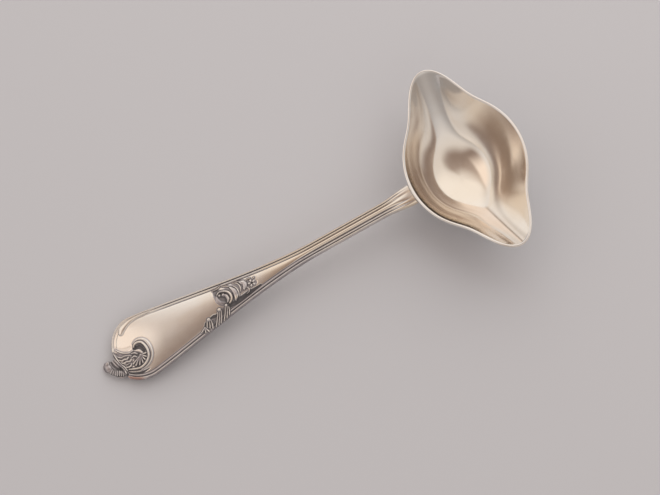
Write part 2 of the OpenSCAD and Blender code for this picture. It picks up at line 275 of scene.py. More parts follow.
class NodeBook:
    """Adds nodes to one node tree and links them."""

    def __init__(self, tree: bpy.types.NodeTree) -> None:
        """Starts on an empty tree."""
        self.tree = tree
        tree.nodes.clear()

    def add(self, kind: str, settings: dict | None = None, inputs: dict | None = None,
            output: int | str = 0) -> Sock:
        """Adds one node.

        Args:
            kind: Blender's name of the node's type.
            settings: Properties of the node, which are set first.
            inputs: Values or links for its sockets, by number or name.
            output: Which of its outputs is given back.

        Returns:
            The node's output.
        """
        node = self.tree.nodes.new(kind)
        for name, value in (settings or {}).items():
            setattr(node, name, value)
        for key, value in (inputs or {}).items():
            if isinstance(value, Sock):
                self.tree.links.new(value.socket, node.inputs[key])
            else:
                node.inputs[key].default_value = value
        return Sock(self, node.outputs[output] if len(node.outputs) else None)

    def mix_colour(self, share: Sock | Number, first: Sock | Colour, second: Sock | Colour) -> Sock:
        """Mixes two colours; share 0 gives the first and 1 the second."""
        plain = [value if isinstance(value, Sock) else (*value, 1.0) for value in (first, second)]
        return self.add("ShaderNodeMix", {"data_type": "RGBA"}, {0: share, 6: plain[0], 7: plain[1]}, 2)

    def step(self, value: Sock, span: Span) -> Sock:
        """Smooth step of a value, from 0 where the span starts to 1 where it stops."""
        settings = {"interpolation_type": "SMOOTHSTEP"}
        return self.add("ShaderNodeMapRange", settings, {0: value, 1: span[0], 2: span[1]})

    def places(self, scale: Triple, turn: Triple) -> Sock:
        """Finds places on the piece in millimetres, scaled and turned.

        Args:
            scale: Factors along the three axes.
            turn: Angles round the three axes in radians.

        Returns:
            The places.
        """
        raw = self.add("ShaderNodeTexCoord", output="Object")
        scales = tuple(value / MM for value in scale)
        return self.add("ShaderNodeMapping", None, {"Vector": raw, "Scale": scales, "Rotation": turn})

    def noise(self, grain: Grain) -> Sock:
        """Soft noise from 0 to 1."""
        inputs = {"Vector": self.places(grain.scale, grain.turn), "Scale": 1.0, "Detail": grain.detail}
        return self.add("ShaderNodeTexNoise", None, inputs)

    def along(self) -> Sock:
        """Distance along the ladle in millimetres."""
        places = self.places((1.0, 1.0, 1.0), (0.0, 0.0, 0.0))
        return self.add("ShaderNodeSeparateXYZ", None, {"Vector": places}, "X")

    def film(self, name: str) -> Sock:
        """Share of tarnish or wear that is stored on the mesh; the tarnish share holds painted shade on the
        handle's lower flank.
        """
        return self.add("ShaderNodeAttribute", {"attribute_name": name}, output="Fac")


@dataclass(frozen=True)
class Finish:
    """What the surface of a piece is made of."""

    name: str

    def sockets(self, book: NodeBook) -> dict:
        """What feeds the principled shader, by the names of its sockets; each kind of finish has its own."""
        raise NotImplementedError

    def material(self) -> bpy.types.Material:
        """Builds the node material.

        Returns:
            The finished material.
        """
        made = bpy.data.materials.new(self.name)
        made.use_nodes = True
        book = NodeBook(made.node_tree)
        shader = book.add("ShaderNodeBsdfPrincipled", None, self.sockets(book))
        book.add("ShaderNodeOutputMaterial", None, {"Surface": shader})
        return made


@dataclass(frozen=True)
class SilverPlate(Finish):
    """Polished silver plate with fine handling marks, worn edges and tarnish in its recesses, which is
    golden where it is thin, grey where it is thicker and dark where it is thickest. The worn colour is
    darker than bare metal as painted shade, for the shadowed table that worn edges mirror."""

    # Stored share of tarnish, which on the handle's lower flank is painted shade
    TARNISH_AND_SHADE = "tarnish"
    WEAR = "wear"

    CLOUD_SHARE = 0.85
    WARM_SPAN = (0.36, 0.64)
    GOLDEN_RISE = (0.0, 0.1)
    GOLDEN_FALL = (0.14, 0.3)
    HAZE_SWAY = 0.4
    FILM_SPAN = (0.05, 0.95)
    GREY_SPAN = (0.0, 0.55)
    DARK_SPAN = (0.35, 1.0)
    WEAR_SWAY = 0.5
    BARE_SPAN = (0.1, 0.9)
    RUB_SPAN = (0.60, 0.74)
    CROSS_SPAN = (0.62, 0.76)

    bright: Colour = (0.89, 0.85, 0.80)
    warm: Colour = (0.86, 0.79, 0.71)
    # Bare base metal, made darker than it is as painted shade for the shadowed table that worn edges mirror
    worn_and_shaded: Colour = (0.51, 0.30, 0.245)
    golden: Colour = (0.87, 0.745, 0.60)
    grey: Colour = (0.445, 0.402, 0.41)
    dark: Colour = (0.100, 0.094, 0.097)
    golden_run: Span = (-122.0, -92.0)
    golden_least: float = 0.25
    roughness: float = 0.17
    haze_rough: float = 0.10
    mark_rough: float = 0.03
    film_rough: float = 0.30
    film_dull: float = 0.45
    mark_depth: float = 0.002
    mark_strength: float = 0.3
    haze_height: float = 0.6
    cloud: Grain = Grain((0.05, 0.09, 0.09), 3.0)
    streak: Grain = Grain((0.06, 0.9, 0.9))
    haze: Grain = Grain((0.4, 0.4, 0.4), 4.0)
    rub: Grain = Grain((0.2, 5.0, 5.0), turn=(0.0, 0.0, 0.5))
    cross: Grain = Grain((4.0, 0.15, 4.0), turn=(0.0, 0.0, -0.35))

    def colour(self, book: NodeBook, recess: Sock, film: Sock) -> Sock:
        """Lays the plate's tints, its bare spots in a colour darkened as painted shade, and the tarnish over
        each other.

        Args:
            book: Adds the nodes.
            recess: Share of tarnish stored on the mesh, which on the handle's lower flank is painted shade.
            film: The same share with a hazy edge.

        Returns:
            The colour of the surface.
        """
        cloud = book.noise(self.cloud)
        warmth = self.CLOUD_SHARE * cloud + (1 - self.CLOUD_SHARE) * book.noise(self.streak)
        plate = book.mix_colour(book.step(warmth, self.WARM_SPAN), self.bright, self.warm)
        thin = book.step(recess, self.GOLDEN_RISE) * (1 - book.step(recess, self.GOLDEN_FALL))
        aged = self.golden_least + (1 - self.golden_least) * book.step(book.along(), self.golden_run)
        plate = book.mix_colour(thin * aged, plate, self.golden)
        # Worn spots: real wear, in a colour darkened as painted shade
        bare_and_shaded = book.step(book.film(self.WEAR) + self.WEAR_SWAY * (cloud - 0.5), self.BARE_SPAN)
        plate = book.mix_colour(bare_and_shaded, plate, self.worn_and_shaded)
        plate = book.mix_colour(book.step(film, self.GREY_SPAN), plate, self.grey)
        return book.mix_colour(book.step(film, self.DARK_SPAN), plate, self.dark)

    def sockets(self, book: NodeBook) -> dict:
        """Lays out the nodes.

        Args:
            book: Adds the nodes.

        Returns:
            What feeds the shader, by the names of its sockets.
        """
        haze = book.noise(self.haze)
        recess = book.film(self.TARNISH_AND_SHADE)
        film = book.step(recess + self.HAZE_SWAY * (haze - 0.5) * recess, self.FILM_SPAN)
        marks = book.step(book.noise(self.rub), self.RUB_SPAN)
        marks = marks + book.step(book.noise(self.cross), self.CROSS_SPAN)
        rough = self.roughness + self.haze_rough * (haze - 0.5) + self.mark_rough * marks
        bump = book.add("ShaderNodeBump", {"invert": True}, {
            "Strength": self.mark_strength,
            "Distance": self.mark_depth * MM,
            "Height": marks + self.haze_height * haze,
        })
        return {
            "Base Color": self.colour(book, recess, film),
            "Metallic": 1.0 - self.film_dull * film,
            "Roughness": (rough + self.film_rough * film).clamped(),
            "Normal": bump,
        }


@dataclass(frozen=True)
class SolderFinish(Finish):
    """Drawn hard solder: dull, grainy and a little uneven."""

    pale: Colour = (0.62, 0.58, 0.53)
    grey: Colour = (0.40, 0.37, 0.34)
    pale_span: Span = (0.3, 0.7)
    grain: Grain = Grain((2.5, 2.5, 2.5), 4.0)
    grain_depth: float = 0.05
    grain_strength: float = 0.6
    roughness: float = 0.28
    grain_rough: float = 0.3

    def sockets(self, book: NodeBook) -> dict:
        """Lays out the nodes.

        Args:
            book: Adds the nodes.

        Returns:
            What feeds the shader, by the names of its sockets.
        """
        grain = book.noise(self.grain)
        bump = book.add("ShaderNodeBump", None, {
            "Strength": self.grain_strength,
            "Distance": self.grain_depth * MM,
            "Height": grain,
        })
        return {
            "Base Color": book.mix_colour(book.step(grain, self.pale_span), self.grey, self.pale),
            "Metallic": 1.0,
            "Roughness": self.roughness + self.grain_rough * grain,
            "Normal": bump,
        }


@dataclass(frozen=True)
class FloorFinish(Finish):
    """Matt pale table top."""

    colour: Colour = (0.585, 0.58, 0.605)
    roughness: float = 0.8
    gloss: float = 0.2

    def sockets(self, book: NodeBook) -> dict:
        """Plain values that feed the shader, by the names of its sockets."""
        plain = (*self.colour, 1.0)
        return {"Base Color": plain, "Roughness": self.roughness, "Specular IOR Level": self.gloss}


def seat(piece: bpy.types.Object, node: str, finish: Finish) -> None:
    """Dresses a piece, lets it stand for its solid and reports it.

    Args:
        piece: The finished mesh object.
        node: Name of the solid that it replaces.
        finish: What its surface is made of.
    """
    piece.data.materials.append(finish.material())
    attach(piece, BODY)
    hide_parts(node)
    log.info("%s: %d faces, %s", piece.name, len(piece.data.polygons), finish.name)


@dataclass
class Bowl:
    """Nearly round cup with two pouring lips, swept by the angle phi round it and a height share q.

    Sizes are in millimetres and angles in degrees.
    """

    TURN_STEP = 0.5
    RISE_STEP = 0.01
    NEAR_SIDE = 180.0
    WALL_SAMPLES = 200

    mouth_a: float
    mouth_b: float = 26.0
    depth: float = 22.0
    wall: float = 1.2
    foot_r: float = 6.0
    lip_reach: float = 13.0
    lip_spread: float = 20.0
    lip_lean: float = 4.0
    lip_rise: float = 1.0
    lip_growth: float = 2.4
    rim_tilt: float = 10.0
    side_roll: float = 64.0
    dish_share: float = 0.45
    dish_floor: float = 0.75
    cup_film: float = 0.06
    film_heights: Span = (1.0, 9.0)
    foot_wear: float = 0.5
    wear_inset: float = 0.3
    wear_w: float = 0.7
    steps_round: int = 288
    steps_up: int = 56
    steps_rim: int = 10
    steps_floor: int = 8

    def lip(self, phi: Array) -> Array:
        """Share of the lip at an angle, 1 at the points of the two lips."""
        return np.exp(-((np.abs(phi - self.NEAR_SIDE) - 90 - self.lip_lean) / self.lip_spread) ** 2)

    def mouth_r(self, phi: Array) -> Array:
        """Radius of the oval mouth without its lips."""
        reach = np.hypot(self.mouth_b * np.cos(np.radians(phi)), self.mouth_a * np.sin(np.radians(phi)))
        return self.mouth_a * self.mouth_b / reach

    def rim_z(self, phi: Array) -> Array:
        """Height of the rim, which slopes up to the far side and at the lips."""
        along = self.mouth_r(phi) * np.cos(np.radians(phi))
        return self.depth + along * math.tan(math.radians(self.rim_tilt)) + self.lip_rise * self.lip(phi)

    def side(self, phi: Array, q: Array) -> Array:
        """Finds the outside of the bowl.

        Args:
            phi: Angles round the bowl.
            q: Height shares, 0 at the flat and 1 at the rim.

        Returns:
            Places in millimetres.
        """
        full = math.radians(self.side_roll)
        roll = q * full
        bulge = self.lip_reach * self.lip(phi) * np.maximum(q, 0) ** self.lip_growth
        r = self.foot_r + (self.mouth_r(phi) - self.foot_r) * np.sin(roll) / math.sin(full) + bulge
        z = self.rim_z(phi) * (1 - np.cos(roll)) / (1 - math.cos(full))
        turn = np.radians(phi)
        return np.stack(np.broadcast_arrays(r * np.cos(turn), r * np.sin(turn), z), -1)

    def upward(self, phi: Array, q: Array) -> Array:
        """Direction up the side."""
        return unit(self.side(phi, q + self.RISE_STEP) - self.side(phi, q - self.RISE_STEP))

    def outward(self, phi: Array, q: Array) -> Array:
        """Direction square to the outside."""
        around = self.side(phi + self.TURN_STEP, q) - self.side(phi - self.TURN_STEP, q)
        return unit(np.cross(around, self.upward(phi, q)))

    def skin(self, phi: Array, q: Array, grow: float) -> Array:
        """The outside moved outwards by grow, or inwards where grow is negative."""
        return self.side(phi, q) + grow * self.outward(phi, q)

    def wall_place(self, y: Array, down: Array, grow: float) -> tuple[Array, Array, Array]:
        """Finds places on the near side of the wall.

        Args:
            y: Distances from the middle line.
            down: Distances down the wall from the rim.
            grow: How far outside the wall the places lie.

        Returns:
            The places, the inward directions and the downward directions there.
        """
        shares = np.linspace(0, 1, self.WALL_SAMPLES)
        meridian = self.side(np.full_like(shares, self.NEAR_SIDE), shares)
        lengths = np.concatenate([[0], np.cumsum(np.linalg.norm(np.diff(meridian, axis=0), axis=1))])
        q = np.interp(lengths[-1] - down, lengths, shares)
        r = np.interp(q, shares, -meridian[:, 0])
        phi = self.NEAR_SIDE - np.degrees(np.arcsin(y / r))
        return self.skin(phi, q, grow), -self.outward(phi, q), -self.upward(phi, q)

    def rings(self) -> Array:
        """Lays rings from the middle of the flat over the outside, the rim and the dished inside.

        Returns:
            Places in millimetres, shaped (rings, points, 3).
        """
        phi = np.arange(self.steps_round) * 360.0 / self.steps_round
        one = np.ones_like(phi)
        shares = np.linspace(0, 1, self.steps_up + 1)
        level = np.linspace(0, 1, self.steps_floor + 1)[1:-1]
        outside = [self.skin(phi, q * one, 0.0) for q in shares]
        inside = [self.skin(phi, q * one, -self.wall) for q in shares[::-1]]
        under = [share * outside[0] for share in level]
        floor = [np.array([share, share, 1.0]) * inside[-1] for share in level[::-1]]
        rim = []
        for k in range(1, self.steps_rim):
            turn = math.pi * k / self.steps_rim
            inset = 0.5 * self.wall * (1 - math.cos(turn))
            lift = 0.5 * self.wall * math.sin(turn)
            rim.append(self.skin(phi, one, -inset) + lift * self.upward(phi, one))
        cup = self.dished(np.array(inside + floor))
        return np.concatenate([np.array(under + outside + rim), cup])

    def dished(self, cup: Array) -> Array:
        """Rounds the bottom of the inside into a dish that runs smoothly into the wall.

        Args:
            cup: Rings of the inside from the rim to the middle.

        Returns:
            The same rings with new heights near the bottom.
        """
        made = cup.copy()
        edge = round((1 - self.dish_share) * self.steps_up)
        r = np.hypot(cup[..., 0], cup[..., 1])
        z = cup[..., 2]
        slope = (z[edge - 1] - z[edge + 1]) / (r[edge - 1] - r[edge + 1])
        rise = z[edge] - self.dish_floor
        fourth = slope * r[edge] / 2 - rise
        second = rise - fourth
        f = (r[edge:] / r[edge]) ** 2
        made[edge:, :, 2] = self.dish_floor + second * f + fourth * f * f
        return made

    def build(self) -> bpy.types.Object:
        """Makes the bowl's mesh, with a light film low in the cup and wear round the flat.

        Returns:
            The bowl.
        """
        rings = self.rings()
        number = np.arange(len(rings))[:, None]
        in_cup = number > self.steps_floor + self.steps_up + self.steps_rim
        outside = number < self.steps_floor + self.steps_up
        film = self.cup_film * in_cup * (1 - ease(*self.film_heights, rings[..., 2]))
        past_flat = np.hypot(rings[..., 0], rings[..., 1]) - self.foot_r
        rubbed = np.exp(-((past_flat + self.wear_inset) / self.wear_w) ** 2) * outside
        films = {SilverPlate.TARNISH_AND_SHADE: film, SilverPlate.WEAR: self.foot_wear * rubbed}
        return closed_tube("ladle_bowl", rings, films)

    def dress(self, finish: SilverPlate) -> None:
        """Builds the bowl and gives it its finish."""
        seat(self.build(), "bowl", finish)


class Section(Enum):
    """Cross-section of a raised stroke: how bluntly it rises, and how far it falls from its crest."""

    ROUND = (0.65, 0.0)
    KEEL = (0.8, 0.4)

    def height(self, ratio: Array) -> Array:
        """Height share at a distance from the stroke's middle, given as a share of its half width."""
        power, fall = self.value
        return clamp01(1 - ratio * ratio) ** power * (1 - fall * clamp01(ratio))


@dataclass(frozen=True)
class Line:
    """A smooth line on the handle's face, through places given along and across it, with half widths."""

    points: Sequence[Point]
    widths: Sequence[float]

    def path(self) -> Array:
        """Samples the line.

        Returns:
            Places along it, each with its half width.
        """
        line = smooth_curve(self.points)
        shares = np.linspace(0, 1, len(line))
        widths = np.interp(shares, np.linspace(0, 1, len(self.widths)), self.widths)
        return np.column_stack([line, widths])


@dataclass(frozen=True)
class Stroke(Line):
    """A raised line of ornament, with tarnish beside it."""

    height: float
    section: Section = Section.ROUND
    shade: float = 0.8


@dataclass(frozen=True)
class Ground(Line):
    """A matted field between the strokes."""

    depth: float
    shade: float


def bead(place: Point, radius: float, height: float) -> Stroke:
    """A round boss of ornament, which is a very short stroke."""
    return Stroke((place, (place[0] + BEAD_LENGTH, place[1])), (radius, radius), height)


class Relief:
    """Heights and tarnish of the ornament over a grid of places on the handle's face."""

    FAR = 99.0
    STROKE_MARGIN = 1.5
    SHADE_REACH = 0.45
    COVER_EDGE = (-0.1, 0.35)
    GROUND_MARGIN = 0.8
    GROUND_EDGE = (0.55, 1.15)
    CREST_START = 0.35
    CREST_RISE = 0.35
    RUBBED = 0.62
    BLUR_ROUNDS = 14

    def __init__(self, s: Array, t: Array) -> None:
        """Starts flat on a grid of distances along and across the handle."""
        self.s, self.t = s, t
        self.raised, self.sunk, self.shade, self.cover = (np.zeros_like(s) for _ in range(4))

    def measure(self, line: Line, margin: float) -> tuple[slice, Array, Array]:
        """Measures the grid against a line of ornament.

        Args:
            line: The stroke or ground.
            margin: How far beside the line its effect reaches.

        Returns:
            The rows of the grid near the line, the distance there as a share of the half width, and the
            distance outside the line.
        """
        path = line.path()
        reach = path[:, 2].max() + margin
        near = self.s.max(axis=1) > path[:, 0].min() - reach
        near &= self.s.min(axis=1) < path[:, 0].max() + reach
        found = np.flatnonzero(near)
        rows = slice(found[0], found[-1] + 1) if len(found) else slice(0, 0)
        s, t = self.s[rows], self.t[rows]
        ratio = np.full_like(s, self.FAR)
        gap = np.full_like(s, self.FAR)
        for a, b in zip(path, path[1:]):
            run = b[:2] - a[:2]
            share = clamp01(((s - a[0]) * run[0] + (t - a[1]) * run[1]) / (run @ run))
            away = np.hypot(s - a[0] - share * run[0], t - a[1] - share * run[1])
            width = mix(a[2], b[2], share)
            ratio = np.minimum(ratio, away / width)
            gap = np.minimum(gap, away - width)
        return rows, ratio, gap

    @staticmethod
    def fill(layer: Array, rows: slice, values: Array) -> None:
        """Brings a layer up to values where it is lower."""
        layer[rows] = np.maximum(layer[rows], values)

    def raise_strokes(self, strokes: Sequence[Stroke]) -> None:
        """Lays strokes on the face; where they meet, the higher one shows.

        Args:
            strokes: The raised lines.
        """
        for stroke in strokes:
            rows, ratio, gap = self.measure(stroke, self.STROKE_MARGIN)
            self.fill(self.raised, rows, stroke.height * stroke.section.height(ratio))
            self.fill(self.shade, rows, stroke.shade * np.exp(-(gap / self.SHADE_REACH) ** 2))
            self.fill(self.cover, rows, 1 - ease(*self.COVER_EDGE, gap))

    def sink_grounds(self, grounds: Sequence[Ground]) -> None:
        """Sinks matted fields and darkens them.

        Args:
            grounds: The matted fields.
        """
        for ground in grounds:
            rows, ratio, _ = self.measure(ground, self.GROUND_MARGIN)
            share = 1 - ease(*self.GROUND_EDGE, ratio)
            self.fill(self.sunk, rows, ground.depth * share)
            self.fill(self.shade, rows, ground.shade * share)

    def tarnish(self) -> Array:
        """Works out the tarnish, which is full in the hollows and rubbed off on the crests.

        Returns:
            Shares of tarnish.
        """
        height = self.raised - self.sunk
        around = height
        for _ in range(self.BLUR_ROUNDS):
            for axis in (0, 1):
                beside = np.roll(around, 1, axis) + np.roll(around, -1, axis)
                around = 0.5 * around + 0.25 * beside
        crest = clamp01(self.CREST_START + (height - around) / self.CREST_RISE)
        return self.shade * (1 - self.RUBBED * crest)


@dataclass
class EndScroll:
    """Leaf bud, fronds, scroll with its shell, and thumb leaf at the broad end."""

    BUD_BALLS = 9

    shell_root: Point = (15.5, -3.1)
    bud_knob: Point = (2.6, -0.8)
    bud_tail: Point = (6.0, -5.0)
    bud_root: Point = (5.2, -1.6)
    bud_r: float = 2.15
    bud_ribs: int = 7
    rib_span: Span = (0.44, 0.92)
    rib_in: float = 0.9
    rib_out: float = 1.0

    def bud_start(self) -> float:
        """Distance along the handle at which the leaf bud starts."""
        return self.bud_knob[0] - self.bud_r

    def bud_reach(self, s: Array, side: int) -> Array:
        """Finds how far the leaf bud, which is bent like a bean, reaches to one side.

        Args:
            s: Distances along the handle.
            side: 1 for the upper side and -1 for the lower one.

        Returns:
            Distances from the middle line, negative where there is no bud.
        """
        knob, tail = np.array(self.bud_knob), np.array(self.bud_tail)
        balls = [mix(knob, tail, f) for f in np.linspace(0, 1, self.BUD_BALLS)]
        reach = np.full_like(s, -Relief.FAR)
        for middle in balls + [np.array(self.bud_root)]:
            away = s - middle[0]
            half = np.sqrt(np.maximum(0, self.bud_r**2 - away * away))
            reach = np.maximum(reach, half + side * middle[1] - fall_away(np.abs(away) - self.bud_r))
        return reach

    def bud_strokes(self) -> list[Stroke]:
        """Draws the rolled edge of the leaf bud with ribs across it, and two knobs where it starts.

        Returns:
            The strokes.
        """
        roll = ((3.0, 0.7), (2.2, -0.4), (2.4, -2.1), (3.3, -3.5), (4.6, -4.6), (6.0, -5.4), (7.3, -6.3))
        made = [Stroke(roll, (0.8, 1.25, 1.3, 1.3, 1.2, 1.1, 0.8), 0.55)]
        line = smooth_curve(roll)
        for k in np.linspace(*self.rib_span, self.bud_ribs):
            i = int(k * (len(line) - 1))
            run = unit(line[i + 1] - line[i])
            across = np.array([-run[1], run[0]])
            ends = (tuple(line[i] + self.rib_in * across), tuple(line[i] - self.rib_out * across))
            made.append(Stroke(ends, (0.22, 0.34, 0.26), 0.72))
        return made + [bead((2.3, -1.2), 1.35, 0.66), bead((2.7, 0.7), 0.8, 0.58)]

    def collar(self) -> list[Stroke]:
        """Draws two ridges that part the leaf bud from the fronds.

        Returns:
            The strokes.
        """
        outer = ((5.7, 2.7), (5.9, 0.4), (6.4, -1.7), (7.0, -3.4), (7.5, -5.2), (7.6, -6.9))
        inner = ((6.7, 2.6), (6.9, 0.5), (7.3, -2.2), (8.1, -4.1), (8.4, -5.9))
        return [
            Stroke(outer, (0.3, 0.45, 0.5, 0.5, 0.35), 0.78),
            Stroke(inner, (0.2, 0.38, 0.4, 0.38, 0.25), 0.62),
        ]

    def fronds(self) -> list[Stroke]:
        """Draws wavy fronds that run from the collar into the scroll.

        Returns:
            The strokes.
        """
        thin = [
            ((8.0, 3.6), (8.6, 2.5), (9.6, 1.3), (10.8, 0.4), (12.4, -0.3), (13.9, -0.1)),
            ((6.9, 2.3), (7.5, 0.7), (8.6, -0.3), (9.8, -0.3), (11.2, -0.9), (12.4, -1.5)),
            ((8.3, -3.1), (9.0, -3.7), (10.2, -3.8), (11.4, -4.2)),
        ]
        full = [
            ((7.4, -0.6), (8.2, -1.5), (9.3, -1.5), (10.3, -1.9), (11.0, -1.6)),
            ((7.6, -1.9), (8.5, -2.7), (9.7, -2.7), (10.9, -3.2), (11.7, -2.8)),
            ((8.5, -4.4), (9.4, -4.9), (10.3, -4.9), (10.9, -4.5)),
        ]
        made = [Stroke(line, (0.2, 0.34, 0.36, 0.2), 0.42, Section.KEEL, 0.65) for line in thin]
        return made + [Stroke(line, (0.25, 0.46, 0.52, 0.42), 0.62, shade=0.5) for line in full]

    def scroll(self) -> list[Stroke]:
        """Draws the crest of the scroll, from its hook round to its tail, and the band outside it.

        Returns:
            The strokes.
        """
        crest = ((14.7, 0.7), (15.4, 1.5), (16.7, 1.65), (18.1, 0.9), (18.8, -0.9), (18.9, -2.9),
                 (18.3, -4.8), (17.0, -6.2), (15.2, -7.1), (13.2, -7.3), (11.2, -6.7), (9.3, -5.8))
        band = ((15.0, 2.2), (16.5, 2.6), (18.1, 2.2), (19.4, 1.0), (20.0, -0.8), (19.9, -2.9),
                (19.2, -4.9), (17.7, -6.7), (15.7, -7.8), (13.4, -8.1))
        return [
            Stroke(band, (0.3, 0.6, 0.8, 0.85, 0.85, 0.85, 0.75, 0.55, 0.35), 0.45, shade=0.5),
            Stroke(crest, (0.4, 0.58, 0.64, 0.66, 0.66, 0.64, 0.6, 0.5, 0.38), 0.95),
        ]

    def shell(self) -> list[Stroke]:
        """Draws the flutes of the shell inside the scroll, spread from a small boss, and two curls beside it.

        Returns:
            The strokes.
        """
        rims = ((17.9, -3.5), (17.4, -4.9), (16.4, -5.9), (15.0, -6.3), (13.5, -6.3), (12.2, -5.7),
                (11.6, -4.7))
        curls = (((12.6, -0.9), (13.8, -1.2), (14.6, -2.0)), ((12.2, -2.4), (13.2, -2.3), (13.9, -3.0)))
        made = [Stroke((self.shell_root, rim), (0.16, 0.34, 0.42), 0.5) for rim in rims]
        made += [Stroke(line, (0.24, 0.4, 0.3), 0.42) for line in curls]
        return made + [bead(self.shell_root, 0.5, 0.6)]

    def thumb(self) -> list[Stroke]:
        """Inner thread of the upper border, which ends in a broad leaf."""
        line = ((26.0, 10.0), (23.0, 10.4), (20.0, 10.55), (17.0, 10.3), (14.0, 9.25), (12.8, 8.1))
        return [Stroke(line, (0.3, 0.5, 0.62, 0.85, 1.25, 1.0), 0.5, shade=0.4)]

    def grounds(self) -> list[Ground]:
        """Dark fields under the fronds, in the scroll and above the lower threads."""
        return [
            Ground(((7.9, 4.4), (9.3, 2.6), (11.2, 1.5), (13.4, 1.3)), (0.7, 1.0, 1.0, 0.7), 0.06, 0.35),
            Ground(((7.4, 1.4), (9.4, -0.9), (10.6, -2.6), (10.0, -4.8)), (1.2, 1.9, 2.0, 1.3), 0.1, 0.68),
            Ground(((16.5, 2.5), (19.2, 1.0), (19.8, -2.4), (17.6, -6.4)), (0.5, 0.9, 0.9, 0.6), 0.0, 0.42),
            Ground(((14.5, 0.2), (16.6, -0.3), (17.4, -2.2)), (0.7, 1.1, 0.8), 0.22, 0.95),
            Ground(((13.2, -1.3), (14.4, -3.2), (13.6, -5.4)), (1.5, 2.4, 2.0), 0.14, 0.78),
            Ground(((8.6, -6.9), (10.6, -8.2), (13.0, -9.1), (16.0, -9.2)), (0.35, 0.6, 0.6, 0.25),
                   0.14, 0.95),
        ]

    def bud_grounds(self) -> list[Ground]:
        """Grey film over the whole leaf bud, and the dark hollow between its rolled edge and the collar."""
        hollow = ((4.4, 0.6), (4.4, -0.9), (5.0, -2.5), (6.2, -3.9))
        return [
            Ground(((2.6, 0.2), (4.0, -2.6), (6.4, -5.4)), (4.0, 4.0, 3.0), 0.0, 0.62),
            Ground(hollow, (0.35, 0.6, 0.6, 0.4), 0.2, 0.9),
        ]

    def lay(self, relief: Relief) -> None:
        """Lays the end's ornament on the face."""
        relief.sink_grounds(self.grounds())
        relief.raise_strokes(self.shell() + self.fronds() + self.collar() + self.scroll() + self.thumb())

    def lay_bud(self, relief: Relief) -> None:
        """Lays the leaf bud's ornament on its own face."""
        relief.sink_grounds(self.bud_grounds())
        relief.raise_strokes(self.bud_strokes())


